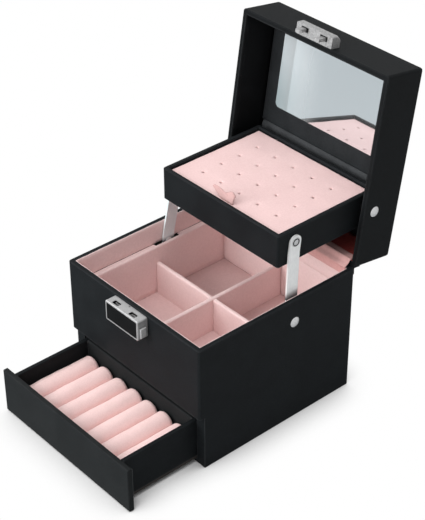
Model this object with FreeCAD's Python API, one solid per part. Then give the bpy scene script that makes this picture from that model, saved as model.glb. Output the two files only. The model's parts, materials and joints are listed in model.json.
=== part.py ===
import FreeCAD, Part
import math
import os

# A leatherette train case shown open: lid up, lift tray raised, drawer pulled out.
# Millimetres. +X is the right side seen from the front, -Y is the front, +Z is up.
# The origin is the centre of the underside, on the table.

# Case walls: leatherette outside, board in the middle, velvet lining inside.
case_width = 165.0
case_depth = 168.0
body_height = 119.8
lid_height = 41.2
rim_gap = 0.4
cover_thickness = 1.0
board_thickness = 3.2
lining_thickness = 0.8
case_corner_radius = 2.6
rim_edge_bevel = 0.6
lid_top_radius = 2.8

# Levels inside the body.
front_panel_bottom = 52.0
floor_level = 53.0
ledge_below_rim = 20.2
deck_thickness = 3.2
base_thickness = 2.8
felt_thickness = 0.8
felt_inset = 6.0
cover_above_table = 0.3
liner_board_thickness = 5.3

# Compartment dividers: card wrapped in velvet.
divider_thickness = 4.0
divider_height = 32.4
divider_edge_radius = 1.4
cross_divider_y = 2.3
cross_divider_drop = 0.7
divider_end_gap = 0.3

# Lift linkage: the lid carries the tray at its rear pivots, two links carry its front.
lid_open_angle = 98.6
lid_pivot_forward = 49.0
lid_pivot_rise = 12.1
tray_pivot_span = 77.8
link_base_below_ledge = 1.0
link_width = 12.0
link_thickness = 1.5
link_wall_gap = 0.8
link_tray_gap = 0.6
slant_start = 8.0
slant_length = 50.0
link_slot_front_reach = 14.8
link_slot_back_reach = 12.0
link_slot_depth = 9.6
link_slot_corner_radius = 2.4
link_slot_lip = 2.0
shank_radius = 2.0
running_clearance = 0.05
rivet_head_radius = 4.6
rivet_head_height = 1.6
clench_radius = 3.2
clench_thickness = 0.6
collar_radius = 3.6
eyelet_radius = 4.3
eyelet_height = 1.0
eyelet_bore = 2.6
eyelet_depth = 0.6
pivot_air_gap = 0.3
spacer_radius = 4.2

# Lift tray and the earring panel that covers it.
tray_side_gap = 7.5
tray_height = 29.6
tray_front_margin = 17.0
tray_back_margin = 14.4
tray_pivot_below_top = 11.0
tray_wall = 4.0
tray_floor = 2.6
tray_corner_radius = 2.0
tray_rim_bevel = 0.8
panel_thickness = 5.0
panel_recess = 2.2
panel_clearance = 0.4
panel_edge_bevel = 1.0
panel_rest_width = 3.0
hole_columns = 5
hole_rows = 4
hole_pitch_x = 22.1
hole_pitch_y = 20.2
hole_rows_forward = 1.9
hole_radius = 0.9
hole_depth = 4.0
tab_width = 12.0
tab_thickness = 0.7
tab_height = 9.0
tab_bend_height = 3.6
tab_lean = 4.0
tab_offset_x = 3.0

# Drawer, drawn pulled out on its base board.
drawer_out = 72.6
drawer_front_thickness = 4.8
drawer_front_bottom = 0.9
drawer_front_height = 42.5
drawer_front_edge_radius = 1.2
drawer_stop_gap = 0.2
drawer_side_clearance = 1.2
drawer_run_clearance = 0.2
drawer_back_clearance = 1.0
drawer_wall = 4.0
drawer_wall_radius = 1.0
drawer_bottom_thickness = 2.6
ring_bay_depth = 71.8
roll_count = 7
roll_pad_thickness = 7.9
roll_end_gap = 1.4
roll_side_gap = 0.15
roll_sink = 0.8
roll_pad_gap = 0.3
roll_end_bevel = 1.6

# Mirror in the lid, on a covered board.
mirror_side_margin = 14.0
mirror_front_margin = 8.5
mirror_rear_margin = 17.5
mirror_thickness = 1.8
mirror_corner_radius = 4.0
mirror_seat_gap = 0.15
mirror_board_thickness = 3.6
mirror_board_side_gap = 1.5
mirror_board_front_gap = 1.5
mirror_board_from_hinge = 63.5
mirror_board_radius = 1.6

# Push lock on the front panel and the hasp above it on the lid.
lock_width = 41.0
lock_depth = 10.0
lock_height = 18.9
lock_below_rim = 1.4
lock_wall = 1.3
lock_face_seat = 0.9
lock_edge_bevel = 0.6
lock_end_radius = 1.8
face_frame = 1.6
face_thickness = 0.8
face_recess = 1.0
hook_spacing = 22.0
hook_width = 4.6
hook_thickness = 2.6
hook_reach = 6.5
hook_barb = 1.4
hook_slot_clearance = 0.8
hook_setback = 6.0
pin_hole_radius = 0.7
button_height = 9.0
button_depth = 5.6
button_proud = 1.2
button_travel = 2.0
button_clearance = 0.2
button_head_gap = 1.0
button_above_lock_foot = 2.2
slide_thickness = 1.8
slide_height = 3.0
nose_width = 2.4
nose_gap = 0.3
post_half_width = 0.8
spring_radius = 1.3
spring_seat_gap = 0.1
hasp_width = 40.0
hasp_depth = 10.0
hasp_height = 9.5
hasp_bevel = 3.2
hasp_end_bevel = 0.8

# Butt hinges let into the rear faces.
hinge_length = 26.0
hinge_offset_x = 46.0
hinge_knuckle_radius = 2.0
hinge_pin_radius = 1.0
hinge_leaf_height = 12.0
hinge_leaf_thickness = 0.9
hinge_middle_length = 9.4
hinge_knuckle_gap = 0.3
hinge_mortise_clearance = 0.4
hinge_lining_glued = 7.0
hinge_lining_slack = 0.9
hinge_lining_side_gap = 0.6

# Worked out from the sizes above.
half_width = case_width / 2
front_y = -case_depth / 2
back_y = case_depth / 2
wall = cover_thickness + board_thickness + lining_thickness
board_face_x = half_width - cover_thickness
board_back_x = board_face_x - board_thickness
lining_face_x = half_width - wall
board_front_y = front_y + cover_thickness
board_inner_front_y = board_front_y + board_thickness
lining_front_y = front_y + wall
board_back_y = back_y - cover_thickness
board_inner_back_y = board_back_y - board_thickness
lining_back_y = back_y - wall
liner_x = board_back_x - liner_board_thickness
inside_x = liner_x - lining_thickness
ledge_level = body_height - ledge_below_rim
base_top = felt_thickness + base_thickness
deck_top = floor_level - lining_thickness
deck_bottom = deck_top - deck_thickness
board_top = body_height - cover_thickness
mouth_front_y = lining_front_y
mouth_board_y = mouth_front_y + cover_thickness

hinge_y = back_y
hinge_z = body_height + rim_gap / 2
lid_bottom = hinge_z + rim_gap / 2
lid_top = lid_bottom + lid_height
lid_board_bottom = lid_bottom + cover_thickness
lid_board_top = lid_top - cover_thickness
lid_ceiling_board = lid_board_top - board_thickness
lid_ceiling = lid_ceiling_board - lining_thickness

mirror_face = lid_ceiling - mirror_board_thickness
mirror_board_half_width = lining_face_x - mirror_board_side_gap
mirror_board_y = (lining_front_y + mirror_board_front_gap, hinge_y - mirror_board_from_hinge)

open_rad = math.radians(lid_open_angle)
forward = (-math.cos(open_rad), math.sin(open_rad))
upward = (math.sin(open_rad), math.cos(open_rad))
lid_pivot_y = hinge_y + lid_pivot_forward * forward[0] + lid_pivot_rise * upward[0]
lid_pivot_z = hinge_z + lid_pivot_forward * forward[1] + lid_pivot_rise * upward[1]
closing_y = hinge_y - lid_pivot_forward - lid_pivot_y
closing_z = hinge_z + lid_pivot_rise - lid_pivot_z
link_top_y = lid_pivot_y - tray_pivot_span
link_top_z = lid_pivot_z
link_base_level = ledge_level - link_base_below_ledge
middle_y = link_top_y + closing_y / 2
middle_z = link_top_z + closing_z / 2
link_base_y = middle_y - (link_base_level - middle_z) * closing_z / closing_y
link_span_y = link_top_y - link_base_y
link_span_z = link_top_z - link_base_level
link_length = math.hypot(link_span_y, link_span_z)
link_lean = math.degrees(math.atan2(-link_span_y, link_span_z))
link_closed = math.atan2(link_span_z + closing_z, link_span_y + closing_y)
link_turn = math.degrees(link_closed - math.atan2(link_span_z, link_span_y))

tray_half_width = lining_face_x - tray_side_gap
tray_front_y = link_top_y - tray_front_margin
tray_back_y = lid_pivot_y + tray_back_margin
tray_top = lid_pivot_z + tray_pivot_below_top
tray_bottom = tray_top - tray_height
link_lower_outer_x = lining_face_x - link_wall_gap
link_lower_inner_x = link_lower_outer_x - link_thickness
link_upper_inner_x = tray_half_width + link_tray_gap
link_upper_outer_x = link_upper_inner_x + link_thickness

drawer_half_width = liner_x - drawer_side_clearance
drawer_box_front_y = mouth_front_y - drawer_stop_gap - drawer_out
drawer_front_y = drawer_box_front_y - drawer_front_thickness
drawer_back_y = board_inner_back_y - drawer_back_clearance - drawer_out
drawer_bottom = base_top + drawer_run_clearance
drawer_top = drawer_front_bottom + drawer_front_height
drawer_floor = drawer_bottom + drawer_bottom_thickness
drawer_inside_x = drawer_half_width - drawer_wall
ring_bay_back_y = drawer_box_front_y + ring_bay_depth
drawer_divider_back_y = ring_bay_back_y + drawer_wall
drawer_inside_back_y = drawer_back_y - drawer_wall

lock_front_y = front_y - lock_depth
lock_top = body_height - lock_below_rim
lock_bottom = lock_top - lock_height
lock_half_width = lock_width / 2


def vector(x, y, z):
    return FreeCAD.Vector(x, y, z)


def block(x, y, z):
    """A rectangular board between the low and high values of each axis."""
    return Part.makeBox(x[1] - x[0], y[1] - y[0], z[1] - z[0], vector(x[0], y[0], z[0]))


def across(half):
    """Low and high values of a size centred on the case's middle plane."""
    return (-half, half)


def side_profile(points, x):
    """A closed outline in the YZ plane, drawn through points and extruded along X."""
    corners = [vector(x[0], y, z) for y, z in points]
    face = Part.Face(Part.makePolygon(corners + corners[:1]))
    return face.extrude(vector(x[1] - x[0], 0, 0))


def runs_along(edge, direction):
    """True for a straight edge parallel to the direction."""
    if len(edge.Vertexes) != 2:
        return False
    run = edge.Vertexes[1].Point.sub(edge.Vertexes[0].Point)
    return run.cross(direction).Length < 1e-6 * run.Length


def rounded(shape, radius, chosen):
    """The shape with the edges that pass the chosen test rounded."""
    return shape.makeFillet(radius, [edge for edge in shape.Edges if chosen(edge)])


def bevelled(shape, size, chosen):
    """The shape with the edges that pass the chosen test cut at 45 degrees."""
    return shape.makeChamfer(size, [edge for edge in shape.Edges if chosen(edge)])


def upright(edge):
    return runs_along(edge, vector(0, 0, 1))


def at_level(level):
    """A test for edges that lie flat at one height."""
    def test(edge):
        box = edge.BoundBox
        return abs(box.ZMin - level) < 1e-6 and abs(box.ZMax - level) < 1e-6
    return test


def rod(radius, x, y, z):
    """A cylinder along X."""
    return Part.makeCylinder(radius, x[1] - x[0], vector(x[0], y, z), vector(1, 0, 0))


def dome(radius, height, x, y, z):
    """A low spherical cap along +X with its flat side at x."""
    ball = (radius * radius + height * height) / (2 * height)
    cap = Part.makeSphere(ball, vector(x + height - ball, y, z), vector(1, 0, 0))
    return cap.common(rod(radius, (x, x + height), y, z))


def mirrored(shape):
    return shape.mirror(vector(0, 0, 0), vector(1, 0, 0))


def pair(shape):
    """A right-hand piece and its left-hand twin."""
    return Part.makeCompound([shape, mirrored(shape)])


def opened(shape):
    """A piece of the lid, drawn closed, swung open about the hinge axis."""
    turned = shape.copy()
    turned.rotate(vector(0, hinge_y, hinge_z), vector(1, 0, 0), -lid_open_angle)
    return turned


def ribbon(points, thickness, x):
    """A strip of cloth along X whose section follows the points in the YZ plane."""
    left = []
    right = []
    for index, (y, z) in enumerate(points):
        before = points[max(index - 1, 0)]
        after = points[min(index + 1, len(points) - 1)]
        run_in = math.atan2(z - before[1], y - before[0])
        run_out = math.atan2(after[1] - z, after[0] - y)
        if index == 0:
            run_in = run_out
        if index == len(points) - 1:
            run_out = run_in
        middle = (run_in + run_out) / 2
        reach = thickness / 2 / math.cos((run_out - run_in) / 2)
        left.append((y - reach * math.sin(middle), z + reach * math.cos(middle)))
        right.append((y + reach * math.sin(middle), z - reach * math.cos(middle)))
    return side_profile(left + right[::-1], x)


def hinge_mortise():
    """The room that one hinge's knuckles and leaves take from the rear walls, lid closed."""
    radius = hinge_knuckle_radius + hinge_mortise_clearance
    half = hinge_length / 2 + hinge_mortise_clearance
    x = (hinge_offset_x - half, hinge_offset_x + half)
    reach = hinge_leaf_height + hinge_mortise_clearance
    seat = (back_y - hinge_leaf_thickness, back_y + cover_thickness)
    leaves = block(x, seat, (hinge_z - reach, hinge_z + reach))
    return pair(rod(radius, x, hinge_y, hinge_z).fuse(leaves))


def through_pivot(y, z):
    """Clearance holes for a rivet through both side walls."""
    radius = shank_radius + running_clearance
    return pair(rod(radius, (inside_x, half_width + rivet_head_height), y, z))


# Body: base, walls, deck, wrap and lining.

def base_felt():
    x = across(half_width - felt_inset)
    y = (mouth_front_y + felt_inset, back_y - felt_inset)
    return rounded(block(x, y, (0, felt_thickness)), felt_inset, upright)


def base_board():
    return block(across(board_face_x), (mouth_board_y, board_back_y), (felt_thickness, base_top))


def side_wall_profile(back, top):
    """Side of the case seen from the right: its foot stands back where the drawer front closes."""
    step = front_panel_bottom + cover_thickness
    front = board_inner_front_y
    foot = mouth_board_y
    return [(foot, base_top), (back, base_top), (back, top), (front, top), (front, step), (foot, step)]


def right_board():
    wall_board = side_profile(side_wall_profile(board_back_y, board_top), (board_back_x, board_face_x))
    return wall_board.cut(through_pivot(link_base_y, link_base_level))


def back_board():
    wall_board = block(across(board_back_x), (board_inner_back_y, board_back_y), (base_top, board_top))
    return wall_board.cut(hinge_mortise())


def front_board():
    z = (front_panel_bottom + cover_thickness, board_top)
    return block(across(board_face_x), (board_front_y, board_inner_front_y), z)


def link_slot():
    """Pocket at the outer side of the ledge where the right link swings."""
    x = (liner_x + link_slot_lip - lining_thickness, board_back_x)
    z = (ledge_level - link_slot_depth, ledge_level + lining_thickness)
    pocket = block(x, (link_base_y - link_slot_front_reach, link_base_y + link_slot_back_reach), z)
    return rounded(pocket, link_slot_corner_radius, lambda edge: runs_along(edge, vector(1, 0, 0)))


def right_liner_board():
    top = ledge_level - lining_thickness
    liner = side_profile(side_wall_profile(board_inner_back_y, top), (liner_x, board_back_x))
    return liner.cut(link_slot())


def right_ledge_lining():
    """Velvet folded over the liner board: the ledge on top and the compartment's side wall."""
    y = (board_inner_front_y + lining_thickness, board_inner_back_y - lining_thickness)
    top = block((inside_x, board_back_x), y, (ledge_level - lining_thickness, ledge_level))
    face = block((inside_x, liner_x), y, (floor_level, ledge_level))
    folded = top.fuse(face).removeSplitter()
    inner_corner = lambda edge: at_level(ledge_level)(edge) and edge.BoundBox.XMax < liner_x
    return rounded(folded, lining_thickness / 2, inner_corner).cut(link_slot())


def deck_board():
    return block(across(liner_x), (mouth_board_y, board_inner_back_y), (deck_bottom, deck_top))


def floor_lining():
    return block(across(liner_x), (lining_front_y, board_inner_back_y), (deck_top, floor_level))


def wall_lining():
    """Velvet round the walls above the ledge, with aprons down the front and rear walls."""
    y = (board_inner_front_y, board_inner_back_y)
    outside = block(across(board_back_x), y, (ledge_level, body_height))
    inside = block(across(lining_face_x), (lining_front_y, lining_back_y), (floor_level, lid_top))
    front = block(across(liner_x), (board_inner_front_y, lining_front_y), (floor_level, ledge_level))
    back = block(across(liner_x), (lining_back_y, board_inner_back_y), (floor_level, ledge_level))
    collar_bore = collar_radius + running_clearance
    collar = rod(collar_bore, (lining_face_x, board_back_x), link_base_y, link_base_level)
    return outside.cut(inside).fuse([front, back]).removeSplitter().cut(pair(collar))


def body_cover():
    """Leatherette wrapped round the walls and over their rim, open below for the drawer."""
    outer = block(across(half_width), (front_y, back_y), (cover_above_table, body_height))
    outer = rounded(outer, case_corner_radius, upright)
    step = block(across(case_width), (front_y - wall, mouth_front_y), (-wall, front_panel_bottom))
    outer = bevelled(outer.cut(step), rim_edge_bevel, at_level(body_height))
    walls = block(across(board_face_x), (mouth_board_y, board_back_y), (0, board_top))
    front_z = (front_panel_bottom + cover_thickness, board_top)
    front = block(across(board_face_x), (board_front_y, mouth_board_y), front_z)
    rim = block(across(board_back_x), (board_inner_front_y, board_inner_back_y), (floor_level, lid_top))
    mouth = block(across(liner_x), (front_y, mouth_board_y), (base_top, deck_bottom))
    lining_seat = block(across(liner_x), (mouth_front_y, mouth_board_y), (deck_top, floor_level))
    skin = outer.cut([walls, front, rim, mouth, lining_seat])
    return skin.cut([hinge_mortise(), through_pivot(link_base_y, link_base_level)])


def divider(x, y, top):
    """A velvet-wrapped card standing on the compartment floor, with a rounded top."""
    card = block(x, y, (floor_level, top))
    along = vector(0, 1, 0) if y[1] - y[0] > x[1] - x[0] else vector(1, 0, 0)
    return rounded(card, divider_edge_radius, lambda edge: at_level(top)(edge) and runs_along(edge, along))


def long_divider():
    y = (lining_front_y + divider_end_gap, lining_back_y - divider_end_gap)
    return divider(across(divider_thickness / 2), y, floor_level + divider_height)


def right_divider():
    x = (divider_thickness / 2, inside_x - divider_end_gap)
    y = (cross_divider_y - divider_thickness / 2, cross_divider_y + divider_thickness / 2)
    return divider(x, y, floor_level + divider_height - cross_divider_drop)


# Lift linkage.

def link_blank():
    """Side view of the strap: a flat bar with round ends, hung from the base pivot at the origin."""
    radius = link_width / 2
    x = (link_upper_inner_x, link_lower_outer_x)
    bar = block(x, across(radius), (0, link_length))
    return bar.fuse([rod(radius, x, 0, 0), rod(radius, x, 0, link_length)])


def link_strip():
    """Edge view of the strap: it slants inwards from the wall to the tray's side."""
    foot = -link_width
    head = link_length + link_width
    slant_end = slant_start + slant_length
    outer = [(link_lower_outer_x, foot), (link_lower_outer_x, slant_start), (link_upper_outer_x, slant_end)]
    inner = [(link_upper_inner_x, slant_end), (link_lower_inner_x, slant_start), (link_lower_inner_x, foot)]
    outline = outer + [(link_upper_outer_x, head), (link_upper_inner_x, head)] + inner
    corners = [vector(x, -link_width, z) for x, z in outline]
    return Part.Face(Part.makePolygon(corners + corners[:1])).extrude(vector(0, 2 * link_width, 0))


def set_on_base_pivot(shape):
    """A piece of the link, drawn upright from the origin, leant and moved to its base pivot."""
    placed = shape.copy()
    placed.rotate(vector(0, 0, 0), vector(1, 0, 0), link_lean)
    placed.translate(vector(0, link_base_y, link_base_level))
    return placed


def right_link():
    hole = shank_radius + running_clearance
    x = (0, half_width)
    bar = link_blank().common(link_strip())
    return set_on_base_pivot(bar.cut([rod(hole, x, 0, 0), rod(hole, x, 0, link_length)]))


def right_link_rivet():
    """Eyelet at the link's head: its shank points at the tray's side and stops just short of it."""
    shank = rod(shank_radius, (tray_half_width + pivot_air_gap, link_upper_outer_x), 0, link_length)
    flange = dome(eyelet_radius, eyelet_height, link_upper_outer_x, 0, link_length)
    top = link_upper_outer_x + eyelet_height
    well = rod(eyelet_bore, (top - eyelet_depth, top), 0, link_length)
    return set_on_base_pivot(shank.fuse(flange).cut(well))


def link_base_rivet():
    """Wall rivet: domed head outside, collar against the wall, clenched end inside the link."""
    y = link_base_y
    z = link_base_level
    shank = rod(shank_radius, (link_lower_inner_x, half_width), y, z)
    head = dome(rivet_head_radius, rivet_head_height, half_width, y, z)
    collar = rod(collar_radius, (link_lower_outer_x, board_back_x), y, z)
    clench = rod(clench_radius, (link_lower_inner_x - clench_thickness, link_lower_inner_x), y, z)
    return shank.fuse([head, collar, clench]).removeSplitter()


def tray_pivot_rivet():
    """Rivet through the lid's side wall and the tray's side, drawn where the open lid holds it."""
    inner = tray_half_width - tray_wall
    shank = rod(shank_radius, (inner, half_width), lid_pivot_y, lid_pivot_z)
    head = dome(rivet_head_radius, rivet_head_height, half_width, lid_pivot_y, lid_pivot_z)
    clench = rod(clench_radius, (inner - clench_thickness, inner), lid_pivot_y, lid_pivot_z)
    return shank.fuse([head, clench]).removeSplitter()


def tray_spacer():
    """Turned bush that keeps the tray's side off the lid's wall."""
    x = (tray_half_width + pivot_air_gap, lining_face_x)
    bush = rod(spacer_radius, x, lid_pivot_y, lid_pivot_z)
    return bush.cut(rod(shank_radius + running_clearance, x, lid_pivot_y, lid_pivot_z))


# Lid, drawn closed and then swung open.

def lid_pivot_holes():
    """Rivet holes through the closed lid's side walls."""
    return through_pivot(hinge_y - lid_pivot_forward, hinge_z + lid_pivot_rise)


def lid_top_board():
    z = (lid_ceiling_board, lid_board_top)
    return opened(block(across(board_face_x), (board_front_y, board_back_y), z))


def lid_right_board():
    z = (lid_board_bottom, lid_ceiling_board)
    wall_board = block((board_back_x, board_face_x), (board_front_y, board_back_y), z)
    return opened(wall_board.cut(lid_pivot_holes()))


def lid_front_board():
    z = (lid_board_bottom, lid_ceiling_board)
    return opened(block(across(board_back_x), (board_front_y, board_inner_front_y), z))


def lid_back_board():
    z = (lid_board_bottom, lid_ceiling_board)
    wall_board = block(across(board_back_x), (board_inner_back_y, board_back_y), z)
    return opened(wall_board.cut(hinge_mortise()))


def lid_cover():
    outer = block(across(half_width), (front_y, back_y), (lid_bottom, lid_top))
    outer = rounded(outer, case_corner_radius, upright)
    outer = rounded(outer, lid_top_radius, at_level(lid_top))
    outer = bevelled(outer, rim_edge_bevel, at_level(lid_bottom))
    boards = block(across(board_face_x), (board_front_y, board_back_y), (lid_board_bottom, lid_board_top))
    opening = block(across(board_back_x), (board_inner_front_y, board_inner_back_y), (0, lid_board_bottom))
    skin = outer.cut([boards, opening])
    return opened(skin.cut([hinge_mortise(), lid_pivot_holes()]))


def lid_lining():
    """Dark lining of the lid's ceiling, front and sides."""
    y = (board_inner_front_y, board_inner_back_y)
    outside = block(across(board_back_x), y, (lid_bottom, lid_ceiling_board))
    inside = block(across(lining_face_x), (lining_front_y, back_y), (0, lid_ceiling))
    return opened(outside.cut([inside, lid_pivot_holes()]))


def lid_back_lining():
    y = (lining_back_y, board_inner_back_y)
    return opened(block(across(lining_face_x), y, (lid_bottom, lid_ceiling)))


def mirror_outline(grow):
    """The mirror's rounded rectangle, grown by a seat gap."""
    y = (mirror_board_y[0] + mirror_front_margin - grow, mirror_board_y[1] - mirror_rear_margin + grow)
    half = mirror_board_half_width - mirror_side_margin + grow
    plate = block(across(half), y, (mirror_face, mirror_face + mirror_thickness))
    return rounded(plate, mirror_corner_radius + grow, upright)


def mirror_board():
    """Covered board on the lid's ceiling with a recess for the mirror."""
    panel = block(across(mirror_board_half_width), mirror_board_y, (mirror_face, lid_ceiling))
    panel = rounded(panel, mirror_board_radius, at_level(mirror_face))
    return opened(panel.cut(mirror_outline(mirror_seat_gap)))


def mirror():
    return opened(mirror_outline(0))


# Lift tray, drawn raised.

def tray_box():
    x = across(tray_half_width)
    y = (tray_front_y, tray_back_y)
    outer = rounded(block(x, y, (tray_bottom, tray_top)), tray_corner_radius, upright)
    inside_y = (tray_front_y + tray_wall, tray_back_y - tray_wall)
    inside_z = (tray_bottom + tray_floor, tray_top + tray_height)
    inside = block(across(tray_half_width - tray_wall), inside_y, inside_z)
    shell = bevelled(outer.cut(inside), tray_rim_bevel, at_level(tray_top))
    holes = rod(shank_radius + running_clearance, across(half_width), lid_pivot_y, lid_pivot_z)
    return shell.cut(holes)


def tray_lining():
    y = (tray_front_y + tray_wall, tray_back_y - tray_wall)
    z = (tray_bottom + tray_floor, tray_bottom + tray_floor + lining_thickness)
    return block(across(tray_half_width - tray_wall), y, z)


def panel_rests():
    """Two strips inside the tray's front and rear walls that carry the earring panel."""
    half = tray_half_width - tray_wall
    top = tray_top - panel_recess - panel_thickness
    foot = tray_bottom + tray_floor + lining_thickness
    front = tray_front_y + tray_wall
    back = tray_back_y - tray_wall
    front_rest = block(across(half), (front, front + panel_rest_width), (foot, top))
    back_rest = block(across(half), (back - panel_rest_width, back), (foot, top))
    return Part.makeCompound([front_rest, back_rest])


def earring_panel():
    """Padded velvet board with rows of holes for ear studs."""
    top = tray_top - panel_recess
    half = tray_half_width - tray_wall - panel_clearance
    y = (tray_front_y + tray_wall + panel_clearance, tray_back_y - tray_wall - panel_clearance)
    pad = bevelled(block(across(half), y, (top - panel_thickness, top)), panel_edge_bevel, at_level(top))
    middle = (y[0] + y[1]) / 2 - hole_rows_forward
    holes = []
    for column in range(hole_columns):
        for row in range(hole_rows):
            hole_x = (column - (hole_columns - 1) / 2) * hole_pitch_x
            hole_y = middle + (row - (hole_rows - 1) / 2) * hole_pitch_y
            holes.append(Part.makeCylinder(hole_radius, hole_depth, vector(hole_x, hole_y, top - hole_depth)))
    return pad.cut(holes)


def pull_tab():
    """Short ribbon at the panel's front edge, leaning back at the top."""
    x = (tab_offset_x - tab_width / 2, tab_offset_x + tab_width / 2)
    foot_z = tray_top - panel_recess
    foot_y = tray_front_y + tray_wall + panel_clearance + panel_edge_bevel + tab_thickness
    bend = (foot_y, foot_z + tab_bend_height)
    return ribbon([(foot_y, foot_z), bend, (foot_y + tab_lean, foot_z + tab_height)], tab_thickness, x)


# Drawer, drawn pulled out.

def drawer_front():
    z = (drawer_front_bottom, drawer_top)
    plate = block(across(half_width), (drawer_front_y, drawer_box_front_y), z)
    at_front = lambda edge: edge.BoundBox.YMax < drawer_front_y + drawer_front_edge_radius
    at_top = at_level(drawer_top)
    return rounded(plate, drawer_front_edge_radius, lambda edge: at_front(edge) or at_top(edge))


def drawer_wall_board(x, y):
    board = block(x, y, (drawer_floor, drawer_top))
    return rounded(board, drawer_wall_radius, at_level(drawer_top))


def drawer_right_side():
    x = (drawer_inside_x, drawer_half_width)
    return drawer_wall_board(x, (drawer_box_front_y, drawer_back_y))


def drawer_back():
    return drawer_wall_board(across(drawer_inside_x), (drawer_inside_back_y, drawer_back_y))


def drawer_divider():
    return drawer_wall_board(across(drawer_inside_x), (ring_bay_back_y, drawer_divider_back_y))


def drawer_bottom_board():
    y = (drawer_box_front_y, drawer_back_y)
    return block(across(drawer_half_width), y, (drawer_bottom, drawer_floor))


def drawer_lining():
    y = (drawer_divider_back_y, drawer_inside_back_y)
    return block(across(drawer_inside_x), y, (drawer_floor, drawer_floor + lining_thickness))


def roll_bay():
    """Front and rear of the space that the ring rolls fill."""
    return (drawer_box_front_y + roll_end_gap, ring_bay_back_y - roll_end_gap)


def roll_radius():
    return drawer_inside_x / roll_count - roll_side_gap


def roll_pad():
    """Foam bed with a groove under each ring roll."""
    pad_top = drawer_floor + roll_pad_thickness
    y = (drawer_box_front_y, ring_bay_back_y)
    bed = block(across(drawer_inside_x), y, (drawer_floor, pad_top))
    radius = roll_radius() + roll_pad_gap
    return bed.cut([roll_along(x, radius, y) for x in roll_centres()])


def roll_centres():
    pitch = 2 * drawer_inside_x / roll_count
    return [(index + 0.5) * pitch - drawer_inside_x for index in range(roll_count)]


def roll_along(x, radius, y):
    """A roll lying front to back, sunk a little into the bed."""
    centre_z = drawer_floor + roll_pad_thickness + roll_radius() - roll_sink
    return Part.makeCylinder(radius, y[1] - y[0], vector(x, y[0], centre_z), vector(0, 1, 0))


def ring_rolls():
    rolls = [roll_along(x, roll_radius(), roll_bay()) for x in roll_centres()]
    round_edge = lambda edge: len(edge.Vertexes) == 1
    return Part.makeCompound([bevelled(roll, roll_end_bevel, round_edge) for roll in rolls])


# Push lock and hasp.

def hook_centre_y():
    return front_y - hook_setback


def lock_housing():
    """Die-cast lock case: open behind, two hook slots on top and a button window at each end."""
    x = across(lock_half_width)
    y = (lock_front_y, front_y)
    outer = block(x, y, (lock_bottom, lock_top))
    outer = rounded(outer, lock_end_radius, lambda edge: runs_along(edge, vector(0, 1, 0)))
    outer = bevelled(outer, lock_edge_bevel, lambda edge: edge.BoundBox.YMax < lock_front_y + lock_wall)
    inner_z = (lock_bottom + lock_wall, lock_top - lock_wall)
    inner_front_y = lock_front_y + face_recess + lock_face_seat
    cavity = block(across(lock_half_width - lock_wall), (inner_front_y, front_y), inner_z)
    frame_z = (lock_bottom + face_frame, lock_top - face_frame)
    face = block(across(lock_half_width - face_frame), (lock_front_y, lock_front_y + face_recess), frame_z)
    window_z = button_window_z(button_clearance)
    window = block(x, button_window_y(button_clearance), (window_z[0], window_z[1] + button_head_gap))
    slot_z = (lock_top - 2 * lock_wall, lock_top)
    half = hook_width / 2 + hook_slot_clearance
    slot_x = (hook_spacing / 2 - half - hook_barb, hook_spacing / 2 + half)
    slot = block(slot_x, hook_span(hook_slot_clearance), slot_z)
    pin_foot = vector(0, front_y - lock_wall, lock_top - 2 * lock_wall)
    pin_hole = Part.makeCylinder(pin_hole_radius, 2 * lock_wall, pin_foot)
    slots = pair(rounded(slot, hook_slot_clearance, upright))
    post_y = (front_y - hook_setback, front_y)
    post = block(across(post_half_width), post_y, inner_z)
    return outer.cut([cavity, face, window, slots, pin_hole]).fuse(post)


def lock_face_plate():
    z = (lock_bottom + face_frame, lock_top - face_frame)
    y = (lock_front_y + face_recess - face_thickness, lock_front_y + face_recess)
    plate = block(across(lock_half_width - face_frame), y, z)
    return rounded(plate, face_thickness / 4, lambda edge: edge.BoundBox.YMax < y[0] + face_thickness / 2)


def hook_span(grow):
    middle = hook_centre_y()
    return (middle - hook_thickness / 2 - grow, middle + hook_thickness / 2 + grow)


def catch_level():
    """Underside of the catch, just over the hook's barb."""
    return lock_top - hook_reach + hook_barb + nose_gap


def button_window_y(grow):
    middle = (lock_front_y + front_y) / 2
    return (middle - button_depth / 2 - grow, middle + button_depth / 2 + grow)


def button_window_z(grow):
    foot = lock_bottom + button_above_lock_foot
    return (foot - grow, foot + button_height + grow)


def right_button():
    """Side button with the slide and nose that hold the right hook; pressing it moves it inwards."""
    window_y = button_window_y(0)
    pad_x = (lock_half_width - lock_wall - button_travel, lock_half_width + button_proud)
    pad = block(pad_x, window_y, button_window_z(0))
    pad = rounded(pad, button_proud / 2, lambda edge: edge.BoundBox.XMin > lock_half_width)
    hook_inner = hook_spacing / 2 - hook_width / 2
    nose_x = (hook_inner - hook_barb - nose_gap - nose_width, hook_inner - hook_barb - nose_gap)
    slide_z = (catch_level(), catch_level() + slide_height)
    back = hook_span(0)[1] + button_clearance
    riser_x = (pad_x[0], pad_x[0] + slide_thickness)
    slide = block((nose_x[0], riser_x[1]), (back, back + slide_thickness), slide_z)
    nose = block(nose_x, (hook_span(0)[0], back), slide_z)
    riser = block(riser_x, (window_y[0], back + slide_thickness), (button_window_z(0)[0], slide_z[1]))
    return pad.fuse([riser, slide, nose]).removeSplitter()


def lock_springs():
    """Coils between the lock's post and each slide, drawn as rods of the coil's outer size."""
    hook_inner = hook_spacing / 2 - hook_width / 2
    nose_foot = hook_inner - hook_barb - nose_gap - nose_width
    x = (post_half_width + spring_seat_gap, nose_foot - spring_seat_gap)
    z = catch_level() + slide_height / 2
    y = hook_centre_y() + hook_thickness / 2
    return pair(rod(spring_radius, x, y, z))


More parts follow.
